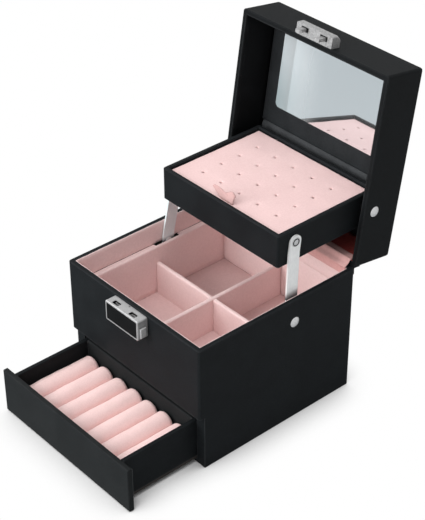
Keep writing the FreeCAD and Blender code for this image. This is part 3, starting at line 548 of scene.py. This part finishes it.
# %% Sheets: a net of points with a thickness
def cloth_net(rows, thick, ring=False):
    """A closed sheet along rows of points, with a rounded rim; ring joins each row's end to its start."""
    rows = np.array(rows, float)
    high, wide = rows.shape[:2]
    across = np.roll(rows, -1, 1) - np.roll(rows, 1, 1) if ring else np.gradient(rows, axis=1)
    along = np.gradient(rows, axis=0)
    out = unit(np.cross(across, along)) * thick / 2
    count = high * wide
    points = [(rows + out).reshape(-1, 3), (rows - out).reshape(-1, 3)]
    faces = []
    for i in range(high - 1):
        for j in range(wide if ring else wide - 1):
            k = (j + 1) % wide
            a, b, c, d = i * wide + j, i * wide + k, (i + 1) * wide + k, (i + 1) * wide + j
            faces += [(a, b, c, d), (d + count, c + count, b + count, a + count)]
    first, last = [(0, j) for j in range(wide)], [(high - 1, j) for j in range(wide)]
    if ring:
        loops = [first, last]
    else:
        loops = [first + [(i, wide - 1) for i in range(1, high)] + last[-2::-1]
                 + [(i, 0) for i in range(high - 2, 0, -1)]]
    start = 2 * count
    for loop in loops:
        rim = []
        for i, j in loop:
            push = np.zeros(3)
            if i in (0, high - 1):
                push += unit(along[i, j]) * (1 if i else -1)
            if not ring and j in (0, wide - 1):
                push += unit(across[i, j]) * (1 if j else -1)
            rim.append(rows[i, j] + unit(push) * thick * 0.42)
        points.append(np.array(rim))
        for n, (i, j) in enumerate(loop):
            m = (n + 1) % len(loop)
            a, b = i * wide + j, loop[m][0] * wide + loop[m][1]
            faces += [(b, a, start + n, start + m), (start + m, start + n, a + count, b + count)]
        start += len(loop)
    return np.concatenate(points), faces


# %% From points to a piece on a body
def piece(name, net, finish, body, stands_for=(), smooth=True):
    """A mesh object from points and faces, with a finish, riding on a body in place of its CAD nodes."""
    points, faces = net
    mesh = bpy.data.meshes.new(name)
    mesh.from_pydata([tuple(p) for p in points], [], [tuple(f) for f in faces])
    tidy = bmesh.new()
    tidy.from_mesh(mesh)
    bmesh.ops.recalc_face_normals(tidy, faces=tidy.faces)
    tidy.to_mesh(mesh)
    tidy.free()
    mesh.materials.append(finish)
    mesh.polygons.foreach_set("use_smooth", [smooth] * len(mesh.polygons))
    made = bpy.data.objects.new(name, mesh)
    scene.collection.objects.link(made)
    if stands_for:
        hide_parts(*stands_for)
    if body:
        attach(made, body)
    print(name, len(mesh.polygons), "faces on", body)
    return made


# %% Unevenness, joining and boxes
def ripple(points, length, height, seed):
    """Gentle unevenness that is the same at each run: a few slow waves in drawn directions."""
    draw = np.random.default_rng(seed)
    total = np.zeros(len(points))
    for _ in range(8):
        way = unit(draw.normal(size=3)) * 2 * math.pi / length * draw.uniform(0.7, 1.5)
        total += np.sin(points @ way + draw.uniform(0, 2 * math.pi))
    return total * height / 8 ** 0.5


def soften(made, length, height, seed):
    """Moves each point of a piece a little along its normal, as foam and glue leave cloth."""
    mesh = made.data
    points = np.array([v.co for v in mesh.vertices])
    normals = np.array([v.vector for v in mesh.vertex_normals])
    points += normals * ripple(points, length, height, seed)[:, None]
    mesh.vertices.foreach_set("co", points.astype(np.float32).ravel())
    mesh.update()


def joined(*nets):
    """Several nets as one."""
    points, faces, start = [], [], 0
    for some, sides in nets:
        points.append(some)
        faces += [tuple(n + start for n in side) for side in sides]
        start += len(some)
    return np.concatenate(points), faces


def corners(node):
    """A CAD node's lowest and highest corner as arrays."""
    low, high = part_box(node)
    return np.array(low), np.array(high)


# %% [markdown]
# ## Lining of the body
# One strip of velvet runs round the walls above the ledges, its upper edge just level with the rim, where
# it shows as a thin pale line. Two aprons go down the front and rear walls. Each ledge is a sheet folded
# over a board, with a notch for the link. Glued cloth hardly needs a simulation, so they are lofted.

# %% Strip round the walls
CLOTH = 0.8 * MM
wall_low, wall_high = corners("wall_lining")
ledge_low, ledge_high = corners("right_ledge_lining")
ledge_z = ledge_high[2]


def loop_places(half_x, half_y, radius, step):
    """Points round a rectangle with round corners, in order."""
    loop = []
    for sx, sy, start in ((1, 1, 0), (-1, 1, 90), (-1, -1, 180), (1, -1, 270)):
        for turn in np.radians(np.linspace(start, start + 90, 5)):
            loop.append((sx * (half_x - radius) + radius * math.cos(turn),
                         sy * (half_y - radius) + radius * math.sin(turn)))
    filled = []
    for here, there in zip(loop, loop[1:] + loop[:1]):
        count = max(1, round(math.dist(here, there) / step))
        filled += [tuple(place) for place in np.linspace(here, there, count, endpoint=False)]
    return filled


strip_x, strip_y = wall_high[0] - CLOTH / 2, wall_high[1] - CLOTH / 2
strip_loop = loop_places(strip_x, strip_y, 1.4 * MM, 5 * MM)
strip_rows = [[(x, y, z) for x, y in strip_loop]
              for z in np.linspace(ledge_z + 0.2 * MM, wall_high[2] - 0.35 * MM, 7)]
wall_strip = piece("wall_strip_velvet", cloth_net(strip_rows, CLOTH, ring=True), lining_velvet, "case",
                   ["wall_lining"])
soften(wall_strip, 24 * MM, 0.08 * MM, 11)

# %% Aprons down the front and rear walls
apron_half = ledge_low[0] + 0.6 * MM
for side, end, held_by in (("front", wall_low[1] + CLOTH / 2, "front_board"),
                           ("rear", wall_high[1] - CLOTH / 2, "back_board")):
    apron_rows = [[(x, end, z) for x in np.linspace(-apron_half, apron_half, 30)]
                  for z in np.linspace(wall_low[2], ledge_z + 0.2 * MM, 10)]
    apron = piece(f"{side}_apron_velvet", cloth_net(apron_rows, CLOTH), lining_velvet, "case",
                  ["wall_lining"])
    soften(apron, 24 * MM, 0.08 * MM, 12)

# %% Ledges: a sheet folded over the liner board, with a notch for the link
LEDGE_FOLD = 1.1 * MM
NOTCH_INNER_X = 74.2 * MM
LEDGE_SHORT = 1.0 * MM
pivot = Vector(next(j["pos_m"] for j in frame["joints"] if j["name"] == "right_link_swing"))
NOTCH_Y = (pivot.y - 14.8 * MM, pivot.y + 12.0 * MM)


def ledge_section(outer):
    """Half a turn of cloth: up the compartment's side, round the edge and out along the ledge."""
    face_x, top_z = ledge_low[0] + CLOTH / 2, ledge_z - CLOTH / 2
    climb = [(face_x, z) for z in np.linspace(ledge_low[2], top_z - LEDGE_FOLD, 10)]
    turn = [(face_x + LEDGE_FOLD * (1 - math.cos(a)), top_z - LEDGE_FOLD * (1 - math.sin(a)))
            for a in np.radians((22.5, 45, 67.5, 90))]
    shelf = [(x, top_z) for x in np.linspace(face_x + LEDGE_FOLD, outer, 5)[1:]]
    return climb + turn + shelf


nick = 0.25 * MM
ledge_places = np.concatenate([np.linspace(ledge_low[1], NOTCH_Y[0] - nick, 18),
                               np.linspace(NOTCH_Y[0] + nick, NOTCH_Y[1] - nick, 8),
                               np.linspace(NOTCH_Y[1] + nick, ledge_high[1], 12)])
for side, name in ((1, "right"), (-1, "left")):
    ledge_rows = []
    for y in ledge_places:
        notched = NOTCH_Y[0] < y < NOTCH_Y[1]
        section = ledge_section(NOTCH_INNER_X if notched else ledge_high[0] - LEDGE_SHORT)
        ledge_rows.append([(side * x, y, z) for x, z in section])
    ledge = piece(f"{name}_ledge_velvet", cloth_net(ledge_rows, CLOTH), lining_velvet, "case",
                  [f"{name}_ledge_lining"])
    soften(ledge, 20 * MM, 0.07 * MM, 13)

# %% [markdown]
# ## Floor and dividers of the compartments
# The floor is velvet over thin foam, so it swells a little between the dividers and dips along them; its
# velvet is a darker copy of the lining, painted shade. The dividers are cards wrapped in the same velvet,
# with soft round tops. A rounded box net carries both.

# %% Compartment floor
floor_low, floor_high = corners("floor_lining")
long_low, long_high = corners("long_divider")
cross_low, cross_high = corners("right_divider")
FLOOR_SWELL = 0.9 * MM
FLOOR_DIP = 0.25 * MM
DIP_REACH = 9 * MM


def dip_beside(values, edges, reach):
    """1 well inside a compartment, 0 at its edges."""
    nearest = np.min([np.abs(values - e) for e in edges], axis=0)
    share = np.clip(nearest / reach, 0, 1)
    return share * share * (3 - 2 * share)


def pad_places(low, high, edges, step):
    """Places along a pad, with extra ones beside the edges where it dips."""
    extra = [e + d for e in edges for d in np.array([-4, -2, -1, 0, 1, 2, 4]) * MM]
    every = np.concatenate([np.linspace(low, high, round((high - low) / step) + 1), extra])
    return np.unique(np.round(np.clip(every, low, high), 6))


edges_x = [floor_low[0], long_low[0], long_high[0], floor_high[0]]
edges_y = [floor_low[1], cross_low[1], cross_high[1], floor_high[1]]
points, faces = box_net([pad_places(floor_low[0], floor_high[0], edges_x, 6 * MM),
                         pad_places(floor_low[1], floor_high[1], edges_y, 6 * MM),
                         np.array([floor_low[2], floor_high[2]])])
on_top = points[:, 2] > floor_low[2] + 0.1 * MM
swell = dip_beside(points[:, 0], edges_x, DIP_REACH) * dip_beside(points[:, 1], edges_y, DIP_REACH)
points[:, 2] += np.where(on_top, FLOOR_SWELL * swell - FLOOR_DIP, 0)
compartment_floor = piece("compartment_floor_velvet", (points, faces), floor_velvet, "case",
                          ["floor_lining"])

# %% Dividers
for name, edges in (("long_divider", (1.7, 0.8, 1.5)), ("right_divider", (0.8, 1.7, 1.5)),
                    ("left_divider", (0.8, 1.7, 1.5))):
    low, high = corners(name)
    points, faces = rounded_net(low - np.array((0, 0, 1.2 * MM)), high, np.array(edges) * MM, 5 * MM)
    points[:, 2] = np.maximum(points[:, 2], low[2] - 0.3 * MM)
    divider = piece(f"{name}_velvet", (points, faces), lining_velvet, "case", [name])
    soften(divider, 18 * MM, 0.1 * MM, 14)

# %% [markdown]
# ## Lid lining, rear lining and the strip over the hinge
# Inside the lid the ceiling, front and sides have a dark paper-backed cloth, and the rear wall has velvet,
# a deep red copy of the pink lining as painted shade.

# %% Places in the lid
hinge = next(j for j in frame["joints"] if j["name"] == "lid_hinge")
hinge_at = Vector(hinge["pos_m"])
opening = math.radians(hinge["range_deg"][0])
WALL = 5.0 * MM
RIM_GAP = 0.4 * MM


def opened(points):
    """Points of the shut lid, swung open about the hinge."""
    turn = np.array(Matrix.Rotation(opening, 3, "X"))
    return (np.array(points, float) - np.array(hinge_at)) @ turn.T + np.array(hinge_at)


lid_floor_z = hinge_at.z + RIM_GAP / 2
LID_HEIGHT, LID_TOP = 41.2 * MM, 4.2 * MM
lid_half_x = wall_high[0]
lid_front_y = -wall_high[1]
lid_back_y = wall_high[1]
lid_ceiling_z = lid_floor_z + LID_HEIGHT - LID_TOP

# %% Dark lining of the lid
def flat_rows(first, second, fixed, order, counts):
    """A flat net between two pairs of values, with the axes in the given order."""
    rows = []
    for v in np.linspace(*second, counts[1]):
        row = []
        for u in np.linspace(*first, counts[0]):
            point = [0.0, 0.0, 0.0]
            point[order[0]], point[order[1]], point[order[2]] = u, v, fixed
            row.append(point)
        rows.append(row)
    return np.array(rows)


inner = CLOTH / 2
wall_z = (lid_floor_z + 0.5 * MM, lid_ceiling_z - CLOTH)
lid_nets = [cloth_net(opened(flat_rows((-lid_half_x, lid_half_x), (lid_front_y, lid_back_y),
                                       lid_ceiling_z - inner, (0, 1, 2), (20, 20))), CLOTH)]
for x in (-lid_half_x + inner, lid_half_x - inner):
    rows = flat_rows((lid_front_y + CLOTH, lid_back_y - CLOTH), wall_z, x, (1, 2, 0), (20, 8))
    lid_nets.append(cloth_net(opened(rows), CLOTH))
rows = flat_rows((-lid_half_x, lid_half_x), wall_z, lid_front_y + inner, (0, 2, 1), (20, 8))
lid_nets.append(cloth_net(opened(rows), CLOTH))
lid_cloth = piece("lid_dark_lining", joined(*lid_nets), dark_paper, "lid", ["lid_lining"])
lid_area = 4 * lid_half_x * lid_back_y + (wall_z[1] - wall_z[0]) * (4 * lid_back_y + 2 * lid_half_x)

# %% Velvet on the lid's rear wall
rows = flat_rows((-lid_half_x + CLOTH, lid_half_x - CLOTH), (lid_floor_z + 0.8 * MM, lid_ceiling_z - CLOTH),
                 lid_back_y - inner, (0, 2, 1), (24, 8))
rear_velvet = piece("lid_rear_velvet", cloth_net(opened(rows), CLOTH),
                    lid_velvet, "lid", ["lid_back_lining"])
soften(rear_velvet, 18 * MM, 0.06 * MM, 15)

# %% Smooth paths
def smooth_path(places, count):
    """A smooth curve through places (Catmull-Rom), as count points."""
    places = [np.array(p, float) for p in places]
    ends = [2 * places[0] - places[1]] + places + [2 * places[-1] - places[-2]]
    curve = []
    for t in np.linspace(0, len(places) - 1, count):
        k = min(int(t), len(places) - 2)
        a, b, c, d = ends[k:k + 4]
        s = t - k
        curve.append(0.5 * (2 * b + (c - a) * s + (2 * a - 5 * b + 4 * c - d) * s ** 2
                            + (3 * b - a - 3 * c + d) * s ** 3))
    return np.array(curve)


# %% Strip over the hinge line
def lid_spot(from_hinge, above_rim):
    """A place in the open lid's section, from distances in the shut lid: forward of the hinge and up."""
    spot = opened([(0, hinge_at.y - from_hinge, hinge_at.z + above_rim)])[0]
    return spot[1:]


GLUED = 7.0 * MM
SLACK = 0.9 * MM
body_edge = np.array((hinge_at.y - WALL, hinge_at.z - RIM_GAP / 2))
lid_edge = lid_spot(WALL, RIM_GAP / 2)
way = (lid_edge - body_edge) / np.linalg.norm(lid_edge - body_edge)
out = np.array((-way[1], way[0])) * (inner + SLACK)
strip_path = [body_edge + (-inner, -GLUED), body_edge + (-inner, -1.0 * MM), body_edge + out * 1.1,
              body_edge + out * 0.7 + (lid_edge - body_edge) * 0.5, lid_edge + out * 1.1,
              lid_spot(WALL + inner, RIM_GAP + 1.4 * MM), lid_spot(WALL + inner, RIM_GAP + GLUED)]
strip_half = lid_half_x - CLOTH - 0.6 * MM
section = smooth_path(strip_path, 25)
rows = [[(x, y, z) for x in np.linspace(-strip_half, strip_half, 40)] for y, z in section]
# Painted shade: the strip wears a darker copy of the lining velvet.
hinge_strip = piece("hinge_strip_velvet", cloth_net(rows, CLOTH), shaded_strip_velvet, None,
                    ["hinge_lining"])
soften(hinge_strip, 30 * MM, 0.1 * MM, 16)
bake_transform(hinge_strip)

# %% Tape behind the hinge line
TAPE_CLOTH = 0.35 * MM
TAPE_STRIPS = ((-81.5, -60.0), (-31.0, 31.0), (60.0, 81.5))
TAPE_PATH = [(84.2, 113.5), (84.2, 116), (84.2, 118.6), (84.5, 119.5), (85.6, 119.55), (88, 119.2),
             (91, 118.75)]
tape_section = smooth_path(TAPE_PATH, 21) * MM
tape_nets = []
for start, end in TAPE_STRIPS:
    rows = [[(x * MM, y, z) for x in np.linspace(start, end, 12)] for y, z in tape_section]
    tape_nets.append(cloth_net(rows, TAPE_CLOTH))
hinge_tape = piece("hinge_tape", joined(*tape_nets), black_wrap, None)
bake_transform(hinge_tape)

# %% Soft double fold where the dark lining ends, under the mirror's board
FOLD_HALF = 74.0 * MM
FOLD_FAR, FOLD_DEPTH = 59.0, 17.0
FOLD_CLOTH = 0.7 * MM
fold_places = np.linspace(0, 1, 25)
first_fold = 0.4 * MM + 3.4 * MM * np.sin(np.pi * np.clip(fold_places / 0.62, 0, 1)) ** 0.6
second_fold = 2.6 * MM * np.sin(np.pi * np.clip((fold_places - 0.55) / 0.45, 0, 1)) ** 0.6
fold_bulge = np.maximum(first_fold, second_fold)
fold_y = hinge_at.y - WALL - (FOLD_FAR - FOLD_DEPTH * fold_places) * MM
rows = [opened([(x, y, lid_ceiling_z - CLOTH - bulge) for x in np.linspace(-FOLD_HALF, FOLD_HALF, 30)])
        for y, bulge in zip(fold_y, fold_bulge)]
# Painted light: the fold is covered in a paler copy of the dark lining.
lid_fold = piece("lid_lining_fold", cloth_net(rows, FOLD_CLOTH), lit_fold_wrap, "lid")
soften(lid_fold, 16 * MM, 0.12 * MM, 18)

# %% [markdown]
# ## Earring panel and its pull tab
# The panel is a velvet pad over the lift tray, with five columns of four holes for ear studs. Each hole
# pulls the velvet down a little round itself. The net is close around the holes and wide between them,
# so that they are real holes; a dark velvet core at the bottom of each is painted shade. The tab is a
# short ribbon, doubled and sewn in, its darker velvet painted shade.

# %% Places of the panel's holes
panel_low, panel_high = corners("earring_panel")
HOLE_COLUMNS, HOLE_ROWS = 5, 4
HOLE_RADIUS = 1.35 * MM
HOLE_PITCH = (22.1 * MM, 20.2 * MM)
ROWS_FORWARD = 1.9 * MM
middle = (panel_low + panel_high) / 2
hole_x = [(c - (HOLE_COLUMNS - 1) / 2) * HOLE_PITCH[0] for c in range(HOLE_COLUMNS)]
hole_y = [middle[1] - ROWS_FORWARD + (r - (HOLE_ROWS - 1) / 2) * HOLE_PITCH[1] for r in range(HOLE_ROWS)]
NEAR_HOLE = np.array([-4.5, -3, -2.2, -1.7, -1.35, -1.1, -0.9, -0.7, -0.4, 0, 0.4, 0.7, 0.9, 1.1, 1.35, 1.7,
                      2.2, 3, 4.5]) * MM


def panel_places(low, high, holes, edge):
    """Places along the panel: close at its round edges and round each hole."""
    every = np.concatenate([spread_places(low, high, edge, 5.5 * MM), *[h + NEAR_HOLE for h in holes]])
    every = np.unique(np.round(every, 7))
    keep = [every[0]]
    for place in every[1:]:
        if place - keep[-1] > 0.15 * MM:
            keep.append(place)
    return np.array(keep)


print(HOLE_COLUMNS * HOLE_ROWS, "holes, from", [round(v / MM, 1) for v in (hole_x[0], hole_y[0])], "mm")

# %% The panel's pad, pulled down round each hole
PANEL_EDGE = 1.8 * MM
points, faces = box_net([panel_places(panel_low[0], panel_high[0], hole_x, PANEL_EDGE),
                         panel_places(panel_low[1], panel_high[1], hole_y, PANEL_EDGE),
                         spread_places(panel_low[2], panel_high[2], PANEL_EDGE, 2 * MM)])
points = round_off(points, panel_low, panel_high, PANEL_EDGE)
top = points[:, 2] > panel_high[2] - 0.4 * MM
far = np.min([np.hypot(points[:, 0] - x, points[:, 1] - y) for x in hole_x for y in hole_y], axis=0)
pull = 0.35 * MM * np.exp(-(far / (2.4 * MM)) ** 2)
bore = 3.2 * MM * np.clip((HOLE_RADIUS - far) / (0.4 * MM), 0, 1)
from_sides = np.minimum(points - panel_low, panel_high - points)
from_edge = np.minimum(from_sides[:, 0], from_sides[:, 1])
crown = 0.5 * MM * np.clip(from_edge / (22 * MM), 0, 1)
crease = 0.4 * MM * np.exp(-((points[:, 1] - panel_high[1] + 9 * MM) / (2.5 * MM)) ** 2)
points[:, 2] += np.where(top, crown + ripple(points, 26 * MM, 0.12 * MM, 17) - crease - pull - bore, 0)
panel_pad = piece("earring_panel_pad", (points, faces), panel_velvet, "earring_panel",
                  ["earring_panel"])

# %% Dark velvet cores at the bottom of the holes, painted shade
SHADE_CORE = np.array([(-3.0, 1.1), (-0.8, 1.1), (-0.75, 0.9)]) * MM
shade_cores = [turned_net((x, y, panel_high[2]), 2, SHADE_CORE) for x in hole_x for y in hole_y]
piece("stud_hole_shade_cores", joined(*shade_cores), hole_shade_velvet, "earring_panel")

# %% Pull tab: its two ends stand apart
tab_low, tab_high = corners("pull_tab")
tab_x = (tab_low[0] + tab_high[0]) / 2
TAB_CLOTH = 1.0 * MM
tab_foot = Vector((tab_x, tab_low[1] + 0.9 * MM, tab_low[2]))
TAB_SHARES = (0.0, 0.12, 0.25, 0.4, 0.52, 0.6, 0.68, 0.78, 0.88, 1.0)
TAB_TOPS = (7.0, 8.8, 9.0, 8.2, 7.0, 7.0, 9.2, 10.0, 9.6, 7.4)
TAB_LEAN = (-12.0, -11.0, -9.0, -6.4, -3.8, -2.2, -0.8, 0.2, 1.2, 1.4)
tab_across = np.linspace(0, 1, 25)
tab_tops = np.interp(tab_across, TAB_SHARES, TAB_TOPS) * MM
tab_lean = np.interp(tab_across, TAB_SHARES, TAB_LEAN) * MM
tab_rows = []
for rise in np.linspace(-0.12, 1, 16):
    row = []
    for share, height, lean in zip(tab_across, tab_tops, tab_lean):
        curl = rise * rise * (2.2 * MM if share > 0.56 else 0.9 * MM)
        row.append((tab_x + (share - 0.5) * 12 * MM + lean * max(rise, 0), tab_foot.y + curl,
                    tab_foot.z + height * rise))
    tab_rows.append(row)
# Painted shade: the tab's velvet is darker than the panel's.
pull_loop = piece("pull_tab_loop", cloth_net(tab_rows, TAB_CLOTH), tab_velvet, "earring_panel",
                  ["pull_tab"])

# %% [markdown]
# ## Ring rolls
# Seven rolls of foam in a velvet sleeve lie side by side on a grooved bed, and rings stand in the gaps
# between them. A roll could be a plain cylinder, but a sewn sleeve closes over rounded ends, sags a little
# where it rests, and presses flat against its neighbours, so each is lofted ring by ring with its own wobble.

# %% Rolls
roll_low, roll_high = corners("ring_rolls")
ROLL_COUNT = 7
ROLL_GAP = 0.3 * MM
pitch = (roll_high[0] - roll_low[0] + ROLL_GAP) / ROLL_COUNT
roll_radius = (pitch - ROLL_GAP) / 2
roll_z = (roll_low[2] + roll_high[2]) / 2 + 0.2 * MM
ROLL_END = 3.4 * MM
ROUND = 40


def roll_net(x, seed):
    """One roll: rings of points from end to end, drawn in at the ends like a stuffed sleeve."""
    front, rear = roll_low[1] + 0.2 * MM, roll_high[1] - 0.2 * MM
    bend = np.radians(np.linspace(0, 90, 7))
    ends = [(front + ROLL_END * (1 - math.sin(a)), roll_radius - ROLL_END * (1 - math.cos(a)))
            for a in bend[::-1]]
    stations = [(front - 0.25 * MM, roll_radius * 0.2), (front - 0.12 * MM, roll_radius * 0.42)] + ends
    stations += [(y, roll_radius) for y in np.linspace(front + ROLL_END, rear - ROLL_END, 26)[1:-1]]
    stations += [(front + rear - y, r) for y, r in ends[::-1]]
    stations += [(rear + 0.12 * MM, roll_radius * 0.42), (rear + 0.25 * MM, roll_radius * 0.2)]
    points = []
    for y, radius in stations:
        for turn in around(ROUND):
            flank = 1 - 0.012 * math.cos(turn) ** 8
            points.append((x + radius * flank * math.cos(turn), y, roll_z + radius * math.sin(turn)))
    points = np.array(points)
    points[:, 2] += ripple(points, 13 * MM, 0.14 * MM, seed) + ripple(points, 40 * MM, 0.2 * MM, seed + 50)
    return points, tube_faces(len(stations), ROUND)


for number in range(ROLL_COUNT):
    x = (number - (ROLL_COUNT - 1) / 2) * pitch
    ring_roll = piece(f"ring_roll_{number + 1}", roll_net(x, 20 + number), roll_velvet, "drawer",
                      ["ring_rolls"])

# %% Bed under the rolls
bed_low, bed_high = corners("roll_pad")
bed_x = np.linspace(bed_low[0], bed_high[0], 8 * ROLL_COUNT + 1)
points, faces = box_net([bed_x, np.linspace(bed_low[1], bed_high[1], 12), np.array([bed_low[2], bed_high[2]])])
beside = (np.mod(points[:, 0] / pitch + ROLL_COUNT / 2, 1) - 0.5) * pitch
groove = roll_z - 0.4 * MM - np.sqrt(np.maximum((roll_radius + 0.3 * MM) ** 2 - beside ** 2, 0))
points[:, 2] = np.where(points[:, 2] > bed_low[2] + 1 * MM, np.minimum(points[:, 2], groove), points[:, 2])
roll_bed = piece("roll_bed_foam", (points, faces), dark_felt, "drawer", ["roll_pad"])

# %% [markdown]
# ## Hidden cloth
# The tray's floor, the drawer's rear half and the underside have flat cloth too. They show only when
# something is moved, but a fold of cloth there is still cloth: thin, a little uneven, with a soft rim.

# %% Tray floor, drawer floor and the felt underneath
for node, name, finish, body, slot, carrier in (
        ("tray_lining", "tray_floor_velvet", lining_velvet, "tray", "velvet", "tray_box"),
        ("drawer_lining", "drawer_floor_velvet", lining_velvet, "drawer", "velvet", "drawer_bottom"),
        ("base_felt", "base_felt_sheet", dark_felt, "case", "felt", "base_board")):
    low, high = corners(node)
    radius = 6 * MM if node == "base_felt" else 0.6 * MM
    ys = np.linspace(low[1] + 0.3 * MM, high[1] - 0.3 * MM, 22)
    rows = []
    for y in ys:
        short = max(0.0, radius - min(y - low[1], high[1] - y))
        half = high[0] - 0.3 * MM - (radius - math.sqrt(max(radius ** 2 - short ** 2, 0)))
        rows.append([(x, y, (low[2] + high[2]) / 2) for x in np.linspace(-half, half, 24)])
    flat_cloth = piece(name, cloth_net(rows, high[2] - low[2]), finish, body, [node])

# %% [markdown]
# ## Small hardware
# Round screws hold the hinge leaves and a coil spring pushes each button out. As painted shade, a dark plate
# stands round each hook of the hasp, the lock's slots and pin hole are lined dark inside, and a dark ring
# runs round each eyelet.

# %% Screws of the hinge leaves and dark plates round the hooks, painted shade
SCREW = np.array([(-0.3, 1.7), (0.1, 1.7), (0.4, 1.3), (0.5, 0.5)]) * MM
SCREW_OFF = 7.2 * MM
screw_x = [side * x * MM for side in (-1, 1) for x in (38.5, 52.5)]
body_screws = [turned_net((x, hinge_at.y, hinge_at.z - SCREW_OFF), 1, SCREW) for x in screw_x]
piece("body_hinge_screws", joined(*body_screws), satin_nickel, "case")
lid_screws = [turned_net((x, hinge_at.y, hinge_at.z + SCREW_OFF), 1, SCREW) for x in screw_x]
points, faces = joined(*lid_screws)
piece("lid_hinge_screws", (opened(points), faces), satin_nickel, "lid")

HOOK_X, HOOK_Y = 10.6 * MM, -90.0 * MM
SHADE_PLATE_HALF_X, SHADE_PLATE_HALF_Y = 3.9 * MM, 2.1 * MM
hook_shades = []
for x in (-HOOK_X, HOOK_X):
    points, faces = rounded_net((x - SHADE_PLATE_HALF_X, HOOK_Y - SHADE_PLATE_HALF_Y, lid_floor_z - 0.22 * MM),
                                (x + SHADE_PLATE_HALF_X, HOOK_Y + SHADE_PLATE_HALF_Y, lid_floor_z + 0.3 * MM),
                                (0.1 * MM,) * 3, 1 * MM)
    hook_shades.append((opened(points), faces))
piece("hook_shade_plates", joined(*hook_shades), black_plastic, "lid", smooth=False)

# %% Dark liners of the lock's slots and pin hole, painted shade
SLOT_X, SLOT_HALF_X, SLOT_HALF_Y = 10.3 * MM, 3.55 * MM, 1.85 * MM
PIN_Y = -85.4 * MM
lock_top = corners("lock_housing")[1][2]
slot_loop = loop_places(SLOT_HALF_X, SLOT_HALF_Y, 0.6 * MM, 1 * MM)
shade_liners = []
for slot_x in (-SLOT_X, SLOT_X):
    rows = [[(slot_x + x, HOOK_Y + y, z) for x, y in slot_loop]
            for z in np.linspace(lock_top - 2.8 * MM, lock_top - 0.25 * MM, 4)]
    shade_liners.append(cloth_net(rows, 0.25 * MM, ring=True))
pin_rows = [[(reach * math.cos(turn), PIN_Y + reach * math.sin(turn), lock_top - 0.3 * MM)
             for turn in around(16)] for reach in (0.62 * MM, 0.05 * MM)]
shade_liners.append(cloth_net(pin_rows, 0.2 * MM, ring=True))
piece("lock_slot_shade_liners", joined(*shade_liners), black_plastic, "case")

# %% Dark rings round the eyelets, painted shade
SHADE_RING_RADIUS, SHADE_RING_WIRE = 3.0 * MM, 0.42 * MM
SHADE_RING = [(SHADE_RING_WIRE * math.sin(bend), SHADE_RING_RADIUS + SHADE_RING_WIRE * math.cos(bend)) for bend in around(8)]
for side in ("left", "right"):
    low, high = corners(f"{side}_link_rivet")
    ring_at = (low + high) / 2
    ring_at[0] = low[0] + 0.1 * MM if side == "left" else high[0] - 0.1 * MM
    piece(f"{side}_eyelet_shade_ring", turned_net(ring_at, 0, SHADE_RING, 28, closed=True), black_plastic,
          f"{side}_link")

# %% Springs of the buttons
def coil_net(start, end, radius, wire, turns):
    """A coil spring along x, its wire swept round a helix between two ends."""
    steps, round_sides = turns * 14, 6
    points = []
    for step in range(steps + 1):
        turn = 2 * math.pi * turns * step / steps
        spot = np.array(start) + (np.array(end) - np.array(start)) * step / steps
        outward = np.array((0.0, math.cos(turn), math.sin(turn)))
        for bend in around(round_sides):
            points.append(spot + outward * (radius + wire * math.cos(bend)) + (wire * math.sin(bend), 0, 0))
    return np.array(points), tube_faces(steps + 1, round_sides)


spring_low, spring_high = corners("lock_springs")
spring_y, spring_z = (spring_low[1:] + spring_high[1:]) / 2
SPRING_FOOT = 0.9 * MM
for side, name in ((-1, "left"), (1, "right")):
    foot = (side * (SPRING_FOOT + 0.35 * MM), spring_y, spring_z)
    tip = (side * (spring_high[0] - 0.25 * MM), spring_y, spring_z)
    coil = piece(f"{name}_button_spring", coil_net(foot, tip, 1.0 * MM, 0.2 * MM, 5), satin_steel, "case",
                 ["lock_springs"])
    length = abs(tip[0] - foot[0])
    1 - 2.0 * MM / length
    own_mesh(coil)
print("springs", round(length / MM, 1), "mm long")
